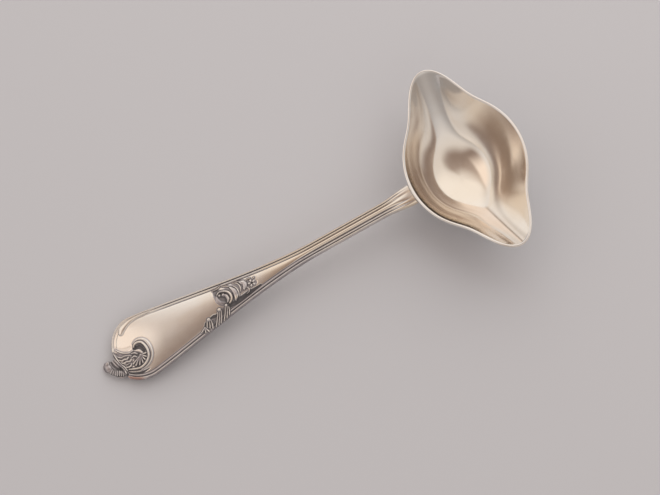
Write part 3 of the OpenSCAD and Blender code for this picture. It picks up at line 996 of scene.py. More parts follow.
@dataclass
class ShoulderSpray:
    """Knobs with hanging strands, C-scroll, petals and flower where the handle narrows."""

    flower_middle: Point = (65.0, 0.0)
    flower_r: float = 1.15
    flower_turn: float = 20.0
    petals: int = 5
    petal_span: Span = (0.6, 0.95)

    def strands(self) -> list[Stroke]:
        """Draws the knobs with thin strands that hang over the lower border, and the small leaf before them.

        Returns:
            The strokes.
        """
        hung = [
            ((43.5, -4.5), (42.9, -5.6), (42.3, -6.6)),
            ((44.2, -4.5), (43.8, -5.9), (43.1, -7.4)),
            ((44.8, -4.8), (44.6, -6.4), (44.1, -7.9)),
            ((48.7, -3.5), (47.2, -5.6), (45.5, -7.9)),
            ((49.3, -3.6), (48.1, -5.7), (46.6, -7.9)),
            ((49.9, -3.7), (48.9, -5.8), (47.7, -7.6)),
            ((52.0, -3.2), (50.7, -5.3), (49.2, -7.4)),
            ((52.6, -3.4), (51.7, -5.2), (50.6, -7.0)),
            ((53.2, -3.6), (52.7, -5.0), (51.9, -6.5)),
        ]
        knobs = [bead((44.1, -4.4), 0.78, 0.7), bead((49.4, -3.1), 0.8, 0.78), bead((52.5, -2.8), 0.66, 0.7)]
        leaf = [((41.5, -6.3), tip) for tip in ((39.6, -7.3), (40.9, -8.2), (42.4, -8.6))]
        made = [Stroke(line, (0.26, 0.34, 0.3), 0.5) for line in hung]
        return made + knobs + [Stroke(line, (0.36, 0.42, 0.25), 0.5) for line in leaf]

    def leaves(self) -> list[Stroke]:
        """Draws the C-scroll with its beads, and the leaves and petals round it.

        Returns:
            The strokes.
        """
        crest = ((51.3, 2.3), (52.4, 2.9), (54.1, 2.5), (55.5, 1.4), (56.0, -0.2), (55.5, -1.8), (54.2, -2.7))
        curl = ((53.2, 1.2), (54.2, 0.5), (54.4, -0.9), (53.7, -2.0))
        lobe = ((50.9, 1.8), (50.6, 0.2), (51.5, -1.3), (53.2, -2.0))
        broad = [
            ((57.0, 2.6), (57.8, 0.8), (57.7, -1.2), (56.7, -2.8)),
            ((61.0, 2.7), (62.3, 1.8), (62.4, 0.6), (61.4, -0.7)),
        ]
        fine = [
            ((50.4, 4.6), (51.6, 4.5), (52.9, 4.6), (53.9, 5.0)),
            ((54.4, 4.4), (55.8, 3.8), (56.8, 3.0)),
            ((58.2, 2.6), (59.0, 1.2), (59.1, -0.6), (58.5, -2.3)),
            ((58.4, 3.6), (59.7, 2.9), (60.4, 1.8), (60.4, 0.4), (59.8, -0.9)),
            ((59.9, 3.4), (61.0, 2.6), (61.4, 1.4)),
            ((62.6, -0.5), (63.1, -1.5), (62.6, -2.4), (61.5, -2.8)),
            ((63.2, 1.8), (64.3, 2.1), (65.4, 2.0)),
            ((66.0, 1.2), (66.9, 1.6)),
        ]
        made = [Stroke(line, (0.4, 0.95, 1.0, 0.45), 0.5, shade=0.78) for line in broad]
        made += [Stroke(line, (0.2, 0.34, 0.38, 0.2), 0.6, Section.KEEL, 0.65) for line in fine]
        return made + [
            Stroke(crest, (0.32, 0.5, 0.58, 0.55, 0.4), 0.8),
            Stroke(curl, (0.6, 0.7, 0.7, 0.4), 0.6, shade=0.55),
            Stroke(lobe, (0.4, 0.8, 0.8, 0.5), 0.22, shade=0.6),
            bead((52.0, 1.7), 0.58, 0.7),
            bead((53.4, 1.3), 0.62, 0.75),
        ]

    def flower(self) -> list[Stroke]:
        """Draws the small flower that ends the spray: petals round a hollow.

        Returns:
            The strokes.
        """
        made = []
        for turn in np.radians(self.flower_turn + np.arange(self.petals) * 360.0 / self.petals):
            out = self.flower_r * np.array([math.cos(turn), math.sin(turn)])
            places = [tuple(self.flower_middle + reach * out) for reach in self.petal_span]
            made.append(Stroke(places, (0.38, 0.54), 0.55, shade=0.6))
        return made

    def grounds(self) -> list[Ground]:
        """Dark fields under the spray, darkest along the lower threads and between the knobs."""
        return [
            Ground(((51.0, 4.4), (50.6, 2.6), (50.5, 0.8), (51.3, -1.8)), (0.7, 1.0, 1.0, 0.9), 0.0, 0.68),
            Ground(((51.4, 3.4), (52.8, 1.2), (52.8, -1.4)), (1.7, 2.6, 2.0), 0.08, 0.8),
            Ground(((56.0, 1.2), (60.0, 0.6), (64.4, 0.0), (66.4, -0.4)), (3.4, 2.9, 2.0, 0.9), 0.08, 0.62),
            Ground(((53.6, -3.6), (57.6, -3.5), (62.0, -2.9), (67.8, -2.2)), (0.9, 1.3, 1.2, 0.35),
                   0.16, 1.0),
            Ground(((51.4, -4.6), (47.6, -5.8), (43.6, -6.6), (40.6, -7.2)), (2.3, 2.0, 1.7, 0.7),
                   0.06, 0.75),
            Ground(((45.5, -4.2), (47.6, -4.3)), (0.6, 0.9, 0.6), 0.14, 0.95),
            Ground(((42.6, -4.9), (41.8, -5.8)), (0.5, 0.5), 0.08, 0.85),
            Ground(((64.9, 0.0), (65.1, 0.0)), (0.5, 0.5), 0.12, 0.85),
        ]

    def lay(self, relief: Relief) -> None:
        """Lays the spray and its dark grounds on the face."""
        relief.sink_grounds(self.grounds())
        relief.raise_strokes(self.leaves() + self.flower() + self.strands())


@dataclass(frozen=True)
class BorderPlace:
    """Where places on the handle's face lie in its thread border.

    It holds distances along the handle, shares of the half width across it, whether each place belongs
    to the upper border, distances from the edge in thread widths, and shares of the inner thread.
    """

    s: Array
    across: Array
    upper: Array
    x: Array
    inner: Array


@dataclass
class ThreadBorder:
    """Two threads along each edge of the handle's face, the low lip inside them, their tarnish, a darkening
    along the lower border, and wear.

    Sizes are in millimetres and runs are distances along the handle. Edges and the widths of grooves are
    counted in thread widths. Films, fades and wear are shares.
    """

    LIP_CHANGE = (-0.5, 0.5)
    CREST_POWER = 4

    pitch: float = 1.05
    thread_h: float = 0.4
    lip_h: float = 0.14
    lip_run: float = 0.3
    flat_lip: float = 0.6
    lower_lip: float = 0.5
    outer_dark: float = 0.85
    inner_dark: float = 0.7
    groove_w: float = 0.2
    spray_groove: float = 0.08
    spray_run: Limits = (44.0, 52.0, 66.0, 78.0)
    lower_groove_w: float = 0.3
    flat_groove: float = 0.1
    thumb_end: Span = (22.5, 25.5)
    thumb_dark: float = 0.5
    thumb_groove: Span = (26.0, 33.0)
    upper_film: float = 0.45
    upper_film_run: Limits = (46.0, 52.0, 66.0, 78.0)
    upper_film_edge: Span = (0.5, 0.9)
    # Darkening of the lower threads along the handle; Handle scales it into painted shade on the lower flank
    lower_darkening: float = 0.58
    lower_darkening_start: Span = (6.5, 9.0)
    lower_darkening_end: Span = (84.0, 100.0)
    lower_fade: float = 0.3
    crest_rub: float = 0.4
    film_edge: Span = (2.0, 2.3)
    edge_wear: float = 0.12
    corner_wear: float = 0.85
    corner_run: Span = (10.5, 15.0)
    wear_start: Span = (6.6, 7.6)
    wear_edge: Span = (0.6, 1.0)

    def height(self, at: BorderPlace) -> Array:
        """Finds the rise of the two threads and of the low lip inside them.

        Args:
            at: Where the places lie in the border.

        Returns:
            Heights.
        """
        inner = np.where(at.x > 1, at.inner, 1.0)
        thread = self.thread_h * np.abs(np.sin(np.pi * at.x)) * inner * (at.x < 2)
        lip = 1 - np.exp(-np.maximum(at.x - 2, 0) / self.lip_run) + (1 - inner) * (at.x < 2)
        lip = lip * self.lip_h * (1 - self.flat_lip * stretch(FLAT_RUN, at.s))
        return thread + lip * mix(self.lower_lip, 1.0, ease(*self.LIP_CHANGE, at.across))

    def grooves(self, at: BorderPlace) -> Array:
        """Finds the dark lines in the grooves beside the threads.

        Args:
            at: Where the places lie in the border.

        Returns:
            Shares of tarnish.
        """
        outer_w = self.groove_w + self.spray_groove * stretch(self.spray_run, at.s)
        lower_w = self.lower_groove_w + self.flat_groove * stretch(FLAT_RUN, at.s)
        inner_w = np.where(at.upper, self.groove_w, lower_w)
        outer = self.outer_dark * np.exp(-((at.x - 1) / outer_w) ** 2)
        inner = self.inner_dark * np.exp(-((at.x - 2) / inner_w) ** 2) * at.inner
        past_thumb = mix(self.thumb_dark, 1.0, ease(*self.thumb_groove, at.s))
        return (outer + inner) * np.where(at.upper, past_thumb, 1.0)

    def wear(self, at: BorderPlace) -> Array:
        """Finds the worn metal along the edges, most of it at the lower corner beside the leaf bud.

        Args:
            at: Where the places lie in the border.

        Returns:
            Shares of wear.
        """
        lower = mix(self.corner_wear, self.edge_wear, ease(*self.corner_run, at.s))
        rubbed = np.where(at.upper, self.edge_wear, lower) * ease(*self.wear_start, at.s)
        return rubbed * (1 - ease(*self.wear_edge, at.x))

    def below(self, s: Array) -> Array:
        """Darkening along the lower border; on the flank it is scaled into painted shade."""
        fade = 1 - self.lower_fade * ease(*self.lower_darkening_end, s)
        return self.lower_darkening * ease(*self.lower_darkening_start, s) * fade

    def film(self, at: BorderPlace) -> Array:
        """Finds the darkening of the lower threads, and the tarnish on the upper ones beside the spray.

        Args:
            at: Where the places lie in the border.

        Returns:
            Shares of darkening and tarnish.
        """
        above = self.upper_film * stretch(self.upper_film_run, at.s) * ease(*self.upper_film_edge, at.x)
        crest = np.sin(np.pi * np.minimum(at.x, 2)) ** self.CREST_POWER
        film = np.where(at.upper, above, self.below(at.s)) * (1 - self.crest_rub * crest)
        return film * (1 - ease(*self.film_edge, at.x))


@dataclass
class Handle:
    """Struck handle, given by the distance s from its end, t across it and h above its middle.

    Sizes are in millimetres, runs are distances along the handle, and films are shares.
    """

    HALF_MM = 0.5
    NARROWEST = 0.3
    THREAD_SHARE = 0.34
    FIELD_LEAST = 0.1
    FIELD_SHARE = 0.32
    LEAST_ACROSS = 0.02
    SIDE_CHANGE = 0.4
    FLAT_DOME = 0.65
    BUD_EDGE = (-0.5, 0.3)
    EDGE_ROUND = 0.5
    FLANK_TOP = 0.35
    FLANK_FOOT = 0.45
    # Painted shade on the lower flank, as a multiple of the lower border's darkening
    FLANK_PAINTED_SHADE = 1.15
    DROP_POWER = 1.5
    CORNER_POWER = 5
    AHEAD = (1.0, 0.0, 0.1)
    LEVEL_WAY = (0.5, 0.5)
    DROP_WAY = (0.55, 0.85)
    ARRIVE_PULL = 0.8
    HEEL_FADE = 0.25

    tip_x: float
    run: float
    neck_z: float
    end_w: float = 24.8
    widest_at: float = 17.0
    upper_run: float = 11.0
    lower_run: float = 13.0
    notch: Point = (7.2, 7.1)
    notch_slope: float = 2.8
    stem_from: float = 92.0
    stem_w: float = 5.7
    side_ease: float = 1.25
    side_draw: float = 1.7
    end_edge: float = 2.0
    stem_edge: float = 2.6
    end_dome: float = 1.1
    stem_dome: float = 0.7
    back_dome: float = 0.5
    dome_run: float = 20.0
    arch_rise: float = 1.0
    end_slope: float = 9.0
    lobe_t: float = 2.6
    bud_end: float = 6.4
    bud_slant: float = 0.24
    bud_blend: float = 0.15
    bud_top: float = 0.45
    tip_round: float = 1.3
    tip_core: float = -0.2
    covered_h: float = 0.12
    back_round: float = 0.9
    flank_bulge: float = 0.06
    stem_film: float = 0.068
    stem_film_start: Span = (62.0, 76.0)
    heel_from: float = 121.0
    heel_w: float = 8.4
    heel_below_rim: float = 0.15
    heel_corner: float = 1.1
    heel_side: float = 0.4
    heel_sunk: float = 0.35
    drop_run: float = 11.0
    rim_step: float = 0.6
    tip_end: float = 5.0
    tip_turn: float = 0.06
    tip_steps: int = 48
    face_runs: tuple[tuple[float, int], ...] = ((27.0, 158), (39.0, 21), (68.5, 188))
    stem_steps: int = 40
    heel_steps: int = 26
    face_steps: int = 160
    wall_steps: int = 4
    back_steps: int = 32
    border: ThreadBorder = field(default_factory=ThreadBorder)
    end: EndScroll = field(default_factory=EndScroll)
    spray: ShoulderSpray = field(default_factory=ShoulderSpray)
    end_z: float = field(init=False)
    end_pull: float = field(init=False)
    neck_pull: float = field(init=False)

    def __post_init__(self) -> None:
        """Works out the control heights of the handle's curve."""
        slope = math.tan(math.radians(self.end_slope))
        self.end_z = self.end_edge / 2 + self.back_dome - self.lobe_t / 2 * slope
        self.end_pull = self.end_z + self.run / 3 * slope
        middle = (self.end_z + self.neck_z) / 2 + self.arch_rise
        self.neck_pull = (8 * middle - self.end_z - 3 * self.end_pull - self.neck_z) / 3

    def middle_z(self, s: Array) -> Array:
        """Height of the handle's middle plane."""
        f, g = s / self.run, 1 - s / self.run
        return (g**3 * self.end_z + 3 * f * g * g * self.end_pull
                + 3 * f * f * g * self.neck_pull + f**3 * self.neck_z)

    def place(self, s: Array, t: Array, h: Array) -> Array:
        """Finds points of the handle in the ladle's frame.

        Args:
            s: Distances along the handle.
            t: Distances across it.
            h: Heights above its middle plane.

        Returns:
            Places in millimetres.
        """
        slope = np.arctan(self.middle_z(s + self.HALF_MM) - self.middle_z(s - self.HALF_MM))
        parts = (self.tip_x + s - h * np.sin(slope), t, self.middle_z(s) + h * np.cos(slope))
        return np.stack(np.broadcast_arrays(*parts), -1)

    def stem_share(self, s: Array) -> Array:
        """Share of the stem's section, from 0 at the broad end to 1 along the stem."""
        f = clamp01((s - self.widest_at) / (self.stem_from - self.widest_at))
        return 1 - (1 - f**self.side_ease) ** self.side_draw

    def shoulder(self, s: Array, run: float) -> Array:
        """Finds the half width of one side without the leaf bud.

        Args:
            s: Distances along the handle.
            run: Length of the rounded shoulder on that side.

        Returns:
            Half widths.
        """
        body = mix(self.end_w, self.stem_w, self.stem_share(s)) / 2
        f = (self.widest_at - s) / run
        rounded = self.end_w / 2 * np.sqrt(np.maximum(0, 1 - f * f)) - fall_away(f - 1)
        return np.where(s < self.widest_at, rounded, body)

    def half_width(self, s: Array, t: Array, least: float) -> Array:
        """Half width, no smaller than the least one, of the side on which t lies."""
        half = np.where(t > 0, self.shoulder(s, self.upper_run), self.shoulder(s, self.lower_run))
        return np.maximum(half, least)

    def outline(self, s: Array) -> tuple[Array, Array]:
        """Finds both sides of the handle, with the leaf bud at its very end.

        Args:
            s: Distances along the handle.

        Returns:
            Upper and lower half widths.
        """
        corner = self.notch[1] + self.notch_slope * (s - self.notch[0])
        lower_shoulder = np.minimum(self.shoulder(s, self.lower_run), corner)
        upper = soft_max(self.shoulder(s, self.upper_run), self.end.bud_reach(s, 1), self.bud_blend)
        lower = soft_max(lower_shoulder, self.end.bud_reach(s, -1), self.bud_blend)
        return upper, lower

    def edge_distance(self, s: Array, t: Array, upper: bool) -> Array:
        """Finds the distance from one edge of the handle, square to it.

        Args:
            s: Distances along the handle.
            t: Distances across it.
            upper: Whether the upper edge is meant.

        Returns:
            Distances, negative outside the edge.
        """
        run = self.upper_run if upper else self.lower_run
        across = t if upper else -t
        half = self.end_w / 2
        f = np.maximum(0, (self.widest_at - s) / run)
        g = np.maximum(across, self.LEAST_ACROSS) / half
        reach = np.hypot(f, g)
        rounded = (1 - reach) * reach / np.hypot(f / run, g / half)
        lean = self.shoulder(s + self.HALF_MM, run) - self.shoulder(s - self.HALF_MM, run)
        straight = (self.shoulder(s, run) - across) / np.hypot(1, lean)
        return np.where(s < self.widest_at, rounded, straight)

    def edge_h(self, s: Array) -> Array:
        """Half thickness at the edge."""
        return mix(self.end_edge, self.stem_edge, self.stem_share(s)) / 2

    def field_h(self, s: Array, t: Array) -> Array:
        """Finds the rise of the domed field above the border's grooves.

        Args:
            s: Distances along the handle.
            t: Distances across it.

        Returns:
            Heights.
        """
        inset = 2 * self.border.pitch
        half = self.half_width(s, t, self.FIELD_LEAST)
        across = np.minimum(1, np.abs(t) / np.maximum(half - inset, self.FIELD_SHARE * half))
        upper_share = clamp01(0.5 + t / (self.SIDE_CHANGE * self.end_w))
        start = self.widest_at - mix(self.lower_run, self.upper_run, upper_share) + inset
        along = clamp01(1 - (s - start) / self.dome_run)
        dome = mix(self.end_dome, self.stem_dome, self.stem_share(s))
        dome = dome * (1 - self.FLAT_DOME * stretch(FLAT_RUN, s))
        return dome * (1 - across * across) * (1 - along * along)

    def border_at(self, s: Array, t: Array) -> BorderPlace:
        """Measures places on the face against the thread border.

        Args:
            s: Distances along the handle.
            t: Distances across it.

        Returns:
            Where the places lie in the border.
        """
        upper = t > 0
        half = self.half_width(s, t, self.NARROWEST)
        distance = np.where(upper, self.edge_distance(s, t, True), self.edge_distance(s, t, False))
        x = np.maximum(distance, 0) / np.minimum(self.border.pitch, self.THREAD_SHARE * half)
        inner = np.where(upper, ease(*self.border.thumb_end, s), 1.0)
        return BorderPlace(s, t / half, upper, x, inner)

    def bud_share(self, s: Array, t: Array) -> Array:
        """Share of the leaf bud, 1 inside it and 0 beyond its collar."""
        return 1 - ease(*self.BUD_EDGE, s - self.bud_end + self.bud_slant * t)

    def face(self, s: Array, t: Array) -> tuple[Array, Array, Array]:
        """Works out the struck face.

        Args:
            s: Distances along the handle.
            t: Distances across it.

        Returns:
            Heights above the middle plane, shares of tarnish and of the lower threads' darkening, and shares
            of wear.
        """
        relief, bud_relief = Relief(s, t), Relief(s, t)
        self.end.lay(relief)
        self.spray.lay(relief)
        self.end.lay_bud(bud_relief)
        bud = self.bud_share(s, t)
        at = self.border_at(s, t)
        uncovered = 1 - relief.cover
        plain = self.edge_h(s) + self.field_h(s, t)
        plain = plain + mix(self.border.height(at), self.covered_h, relief.cover)
        bud_face = self.bud_top + bud_relief.raised - bud_relief.sunk
        height = mix(plain - relief.sunk, bud_face, bud) + relief.raised
        tarnish = relief.tarnish()
        dark = mix(np.maximum(tarnish, self.border.grooves(at) * uncovered), bud_relief.tarnish(), bud)
        wear = self.border.wear(at) * uncovered
        film = self.border.film(at) * (1 - wear) * uncovered * (1 - bud)
        return height, np.maximum(np.maximum(dark, tarnish), film), wear

    def stations(self) -> Array:
        """Spaces the sections, close together where there is ornament.

        Returns:
            Distances from the end.
        """
        turn = np.linspace(self.tip_turn, math.pi / 2, self.tip_steps)
        made = [mix(self.end.bud_start(), self.tip_end, 1 - np.cos(turn))]
        start = self.tip_end
        for stop, steps in (*self.face_runs, (self.heel_from, self.stem_steps)):
            made.append(np.linspace(start, stop, steps)[1:])
            start = stop
        return np.concatenate(made)

    @staticmethod
    def columns(steps: int) -> Array:
        """Places across a section from -1 to 1, a little closer together at both edges."""
        even = np.linspace(-1, 1, steps + 1)
        return 0.5 * even + 0.5 * np.sin(0.5 * math.pi * even)

    def sections(self) -> tuple[Array, Array, Array]:
        """Lays closed sections from the end to the heel: face, one flank, back and the other flank.

        Returns:
            Places shaped (stations, points, 3), and tarnish, with painted shade on the lower flank, and wear
            shaped (stations, points).
        """
        s = self.stations()[:, None]
        upper, lower = self.outline(s)
        middle, half = (upper - lower) / 2, (upper + lower) / 2
        inwards = half / np.hypot(1, np.gradient(half[:, 0], s[:, 0]))[:, None]
        edge = self.edge_h(s)
        top, foot = self.FLANK_TOP * edge, -self.FLANK_FOOT * edge
        face_v = self.columns(self.face_steps)[None, :]
        face_t = middle + half * face_v
        face_h, dark, worn_and_shaded = self.face(s + 0 * face_v, face_t)
        edge_round = self.EDGE_ROUND * self.border.pitch
        face_h = mix(top, face_h, quarter_round(inwards * (1 - np.abs(face_v)) / edge_round))
        back_v = -self.columns(self.back_steps)[None, :]
        back_h = -edge - self.back_dome * (1 - back_v**2)
        back_h = mix(foot, back_h, quarter_round(inwards * (1 - np.abs(back_v)) / self.back_round))
        wall_f = np.linspace(0, 1, self.wall_steps + 1)[None, 1:-1]
        wall_h = mix(top, foot, wall_f)
        bulge = self.flank_bulge * np.sin(np.pi * wall_f) * np.minimum(1, half)
        runs = [np.broadcast_arrays(*run) for run in (
            (s, face_t, face_h),
            (s, upper + bulge, wall_h),
            (s, middle + half * back_v, back_h),
            (s, -lower - bulge, wall_h[:, ::-1]),
        )]
        all_s, all_t, all_h = (np.concatenate(parts, axis=1) for parts in zip(*runs))
        all_h = mix(self.tip_core, all_h, quarter_round((s - self.end.bud_start()) / self.tip_round))
        on_face, low_flank = slice(0, self.face_steps + 1), slice(1 - self.wall_steps, None)
        tarnish = self.stem_film * ease(*self.stem_film_start, all_s)
        # Painted shade on the lower flank, stored with the tarnish; none where the edge is worn
        flank_painted_shade = self.FLANK_PAINTED_SHADE * self.border.below(s) * (1 - worn_and_shaded[:, :1])
        tarnish[:, low_flank] = np.maximum(flank_painted_shade, tarnish[:, :1])
        tarnish[:, on_face] = np.maximum(dark, tarnish[:, on_face])
        wear = np.zeros_like(all_s)
        wear[:, on_face] = worn_and_shaded
        wear[:, low_flank] = worn_and_shaded[:, :1]
        return self.place(all_s, all_t, all_h), tarnish, wear

    def footprint(self, bowl: Bowl, grow: float) -> tuple[Array, Array]:
        """Draws the drop-shaped outline of the heel on the bowl's wall, in the order of a section's points.

        Args:
            bowl: The bowl that the heel is soldered to.
            grow: How far outside the wall the outline lies.

        Returns:
            Places of the outline, and the directions in which the heel arrives there.
        """
        half = self.heel_w / 2
        top = self.rim_step + self.heel_below_rim
        side = top + self.heel_corner
        foot = side + self.heel_side
        face_v = self.columns(self.face_steps)
        wall_f = np.linspace(0, 1, self.wall_steps + 1)[1:-1]
        turn = np.pi / 2 * (1 + self.columns(self.back_steps))
        drop = np.sin(turn) ** self.DROP_POWER
        face_down = top + self.heel_corner * np.abs(face_v) ** self.CORNER_POWER
        wall_down = side + self.heel_side * wall_f
        y = np.concatenate([half * face_v, half + 0 * wall_f, half * np.cos(turn), -half + 0 * wall_f])
        down = np.concatenate([face_down, wall_down, mix(foot, self.drop_run, drop), wall_down[::-1]])
        lean = np.concatenate([0 * face_v, 0 * wall_f, drop, 0 * wall_f])[:, None]
        places, inward, below = bowl.wall_place(y, down, grow)
        level = self.LEVEL_WAY[0] * inward + self.LEVEL_WAY[1] * np.array(self.AHEAD)
        downward = self.DROP_WAY[0] * inward + self.DROP_WAY[1] * below
        return places, unit(mix(level, downward, lean))

    def heel(self, last: Array, before: Array, bowl: Bowl) -> Array:
        """Lays sections that flare from the stem to the heel's outline on the bowl.

        Args:
            last: Last section of the stem.
            before: The section before it.
            bowl: The bowl that the heel is soldered to.

        Returns:
            Places shaped (sections, points, 3).
        """
        foot, arrive = self.footprint(bowl, -self.heel_sunk)
        gap = np.linalg.norm(foot - last, axis=1)[:, None]
        leave = unit(last - before) * gap
        f = np.linspace(0, 1, self.heel_steps + 1)[1:, None, None]
        from_last = (2 * f**3 - 3 * f * f + 1) * last + (f**3 - 2 * f * f + f) * leave
        to_foot = (3 * f * f - 2 * f**3) * foot + (f**3 - f * f) * arrive * gap * self.ARRIVE_PULL
        return from_last + to_foot

    def build(self, bowl: Bowl) -> bpy.types.Object:
        """Makes the handle's mesh, whose heel ends in the bowl's wall.

        Args:
            bowl: The bowl that the heel is soldered to.

        Returns:
            The handle.
        """
        places, tarnish, wear = self.sections()
        heel = self.heel(places[-1], places[-2], bowl)
        fade = np.linspace(1, self.HEEL_FADE, len(heel))[:, None]
        films = {SilverPlate.TARNISH_AND_SHADE: tarnish, SilverPlate.WEAR: wear}
        films = {name: np.vstack([share, fade * share[-1]]) for name, share in films.items()}
        return closed_tube("ladle_handle", np.vstack([places, heel]), films)

    def dress(self, bowl: Bowl, finish: SilverPlate) -> None:
        """Builds the handle and gives it its finish."""
        seat(self.build(bowl), "handle", finish)


@dataclass
class SolderBead:
    """Bead of hard solder that shows round the heel and swells a little unevenly."""

    LEVEL = (1.0, 0.0, -0.3)

    radius: float = 0.36
    lift: float = 0.05
    swell: float = 0.12
    long_wave: float = 0.23
    short_wave: float = 0.7
    sides: int = 10
    stride: int = 2

    def build(self, handle: Handle, bowl: Bowl) -> bpy.types.Object:
        """Makes the bead's mesh along the heel's outline.

        Args:
            handle: The handle whose heel it runs round.
            bowl: The bowl that it lies on.

        Returns:
            The bead.
        """
        line = handle.footprint(bowl, self.lift)[0][::self.stride]
        run = unit(np.roll(line, -1, axis=0) - np.roll(line, 1, axis=0))
        out = unit(np.cross(run, np.array(self.LEVEL)))
        over = np.cross(run, out)
        turn = np.linspace(0, 2 * math.pi, self.sides, endpoint=False)[None, :, None]
        number = np.arange(len(line))[:, None, None]
        thick = 1 + self.swell * np.sin(self.short_wave * number) * np.sin(self.long_wave * number)
        ring = np.cos(turn) * out[:, None] + np.sin(turn) * over[:, None]
        return closed_loop("ladle_solder_bead", line[:, None] + self.radius * thick * ring)

    def dress(self, handle: Handle, bowl: Bowl, finish: SolderFinish) -> None:
        """Builds the bead and gives it its finish."""
        seat(self.build(handle, bowl), "solder_seam", finish)


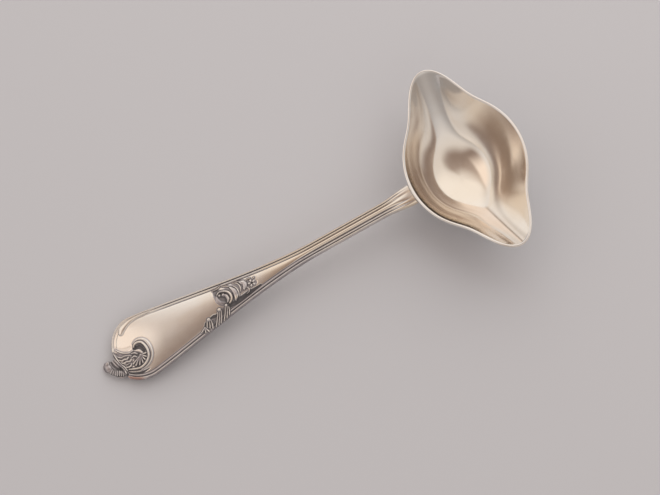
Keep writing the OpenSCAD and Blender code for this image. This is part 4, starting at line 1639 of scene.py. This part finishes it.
@dataclass
class Studio:
    """Pale table top, soft light and the camera.

    The camera's sizes are in millimetres, and the floor's and the lamp's in metres. The room's spans are
    cosines of the angle to an axis, or to the lamp, between which one colour gives way to another.
    """

    X, Y, Z = (1.0, 0.0, 0.0), (0.0, 1.0, 0.0), (0.0, 0.0, 1.0)

    target: Triple = (-59.48, -2.0, 10.0)
    distance: float = 800.0
    azimuth: float = -28.86
    elevation: float = 75.5
    focal_pixels: float = 2105.3
    floor_half: float = 3.0
    key_watts: float = 1.55
    key_size: float = 0.85
    key_place: Triple = (0.30, 0.38, 0.44)
    key_colour: Colour = (1.0, 0.97, 0.93)
    ceiling_dim: Colour = (0.31, 0.245, 0.215)
    ceiling_pale: Colour = (0.62, 0.52, 0.46)
    ceiling_lamp: Colour = (1.07, 0.95, 0.86)
    near_wall_low: Colour = (0.38, 0.35, 0.335)
    near_wall_high: Colour = (0.78, 0.74, 0.71)
    far_wall: Colour = (0.88, 0.845, 0.82)
    skirting: Colour = (0.36, 0.34, 0.33)
    key_glow: Colour = (1.03, 0.99, 0.95)
    lamp_along: Span = (0.17, 0.31)
    lamp_across: Span = (-0.25, 0.30)
    pale_across: Span = (-0.3, 0.6)
    near_wall_height: Span = (0.2, 0.65)
    far_wall_across: Span = (-0.55, 0.25)
    skirting_height: Span = (0.02, 0.24)
    ceiling_height: Span = (0.45, 0.75)
    ceiling_end: Span = (0.12, 0.45)
    ceiling_side: Span = (0.3, 0.6)
    glow_span: Span = (0.72, 0.92)

    def floor(self) -> None:
        """Lays the table top at the height on which the ladle rests."""
        half = self.floor_half
        mesh = bpy.data.meshes.new("table_top")
        corners = [(-half, -half, 0), (half, -half, 0), (half, half, 0), (-half, half, 0)]
        mesh.from_pydata(corners, [], [(0, 1, 2, 3)])
        mesh.materials.append(FloorFinish("table_top").material())
        top = stand("table_top", mesh)

    def key(self) -> None:
        """Hangs one large soft lamp over the table; metal mirrors the world's glow in its place."""
        lamp = bpy.data.lights.new("key", "AREA")
        lamp.size = self.key_size
        lamp.energy = self.key_watts
        lamp.color = self.key_colour
        hung = stand("key", lamp)
        hung.location = self.key_place
        aim = Vector(self.target) * MM - hung.location
        hung.rotation_euler = aim.to_track_quat("-Z", "Y").to_euler()
        hung.visible_glossy = False

    def sky(self, book: NodeBook) -> Sock:
        """Paints a pale room that metal can mirror: ceiling, walls and the key lamp's glow.

        Args:
            book: Adds the nodes.

        Returns:
            The colour in each direction.
        """
        way = book.add("ShaderNodeTexCoord", output="Generated")

        def towards(direction: Triple) -> Sock:
            """Cosine of the angle between a ray and a direction."""
            inputs = {0: way, 1: tuple(Vector(direction).normalized())}
            return book.add("ShaderNodeVectorMath", {"operation": "DOT_PRODUCT"}, inputs, "Value")

        along, across, height = (towards(axis) for axis in (self.X, self.Y, self.Z))
        lamp = book.step(-1 * along, self.lamp_along) * book.step(across, self.lamp_across)
        ceiling = book.mix_colour(book.step(across, self.pale_across), self.ceiling_dim, self.ceiling_pale)
        ceiling = book.mix_colour(lamp, ceiling, self.ceiling_lamp)
        near_height = book.step(height, self.near_wall_height)
        near = book.mix_colour(near_height, self.near_wall_low, self.near_wall_high)
        wall = book.mix_colour(book.step(across, self.far_wall_across), near, self.far_wall)
        wall = book.mix_colour(book.step(height, self.skirting_height), self.skirting, wall)
        overhead = book.step(height, self.ceiling_height) * (1 - book.step(along, self.ceiling_end))
        overhead = overhead * (1 - book.step(-1 * across, self.ceiling_side))
        glow = book.step(towards(self.key_place), self.glow_span)
        return book.mix_colour(glow, book.mix_colour(overhead, wall, ceiling), self.key_glow)

    def world(self) -> None:
        """Surrounds the table with the pale room."""
        world = bpy.data.worlds.new("studio")
        world.use_nodes = True
        bpy.context.scene.world = world
        book = NodeBook(world.node_tree)
        shade = book.add("ShaderNodeBackground", None, {"Color": self.sky(book), "Strength": 1.0})
        book.add("ShaderNodeOutputWorld", None, {"Surface": shade})

    def camera(self) -> None:
        """Sets up the camera."""
        turn, rise = math.radians(self.azimuth), math.radians(self.elevation)
        back = Vector((math.sin(turn) * math.cos(rise), -math.cos(turn) * math.cos(rise), math.sin(rise)))
        lens = bpy.data.cameras.new("camera")
        lens.sensor_fit = "HORIZONTAL"
        lens.sensor_width = SENSOR_WIDTH
        lens.lens = SENSOR_WIDTH * self.focal_pixels / IMAGE_WIDTH
        held = stand("camera", lens)
        held.location = (Vector(self.target) + back * self.distance) * MM
        held.rotation_euler = back.to_track_quat("Z", "Y").to_euler()
        bpy.context.scene.camera = held

    def build(self) -> None:
        """Sets up the floor, the light and the camera."""
        bpy.context.scene.view_settings.view_transform = "Standard"
        self.floor()
        self.key()
        self.world()
        self.camera()
        log.info("studio ready")


def main() -> None:
    """Builds the ladle piece by piece, then the studio."""
    logging.basicConfig(level=logging.INFO, format="%(name)s: %(message)s")
    mouth_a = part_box("bowl")[1].x / MM
    bowl = Bowl(mouth_a=mouth_a)
    stem_top = float(bowl.rim_z(np.array(Bowl.NEAR_SIDE))) - Handle.rim_step
    handle = Handle(
        tip_x=mouth_a - TOTAL_LENGTH,
        run=TOTAL_LENGTH - 2 * mouth_a,
        neck_z=stem_top - Handle.stem_edge / 2 - Handle.stem_dome,
    )
    polished = SilverPlate(
        "polished_plate",
        bright=(0.90, 0.87, 0.835),
        warm=(0.88, 0.83, 0.775),
        roughness=0.12,
    )
    bowl.dress(polished)
    handle.dress(bowl, SilverPlate("struck_plate"))
    SolderBead().dress(handle, bowl, SolderFinish("drawn_solder"))
    Studio().build()


if __name__ == "__main__":
    main()
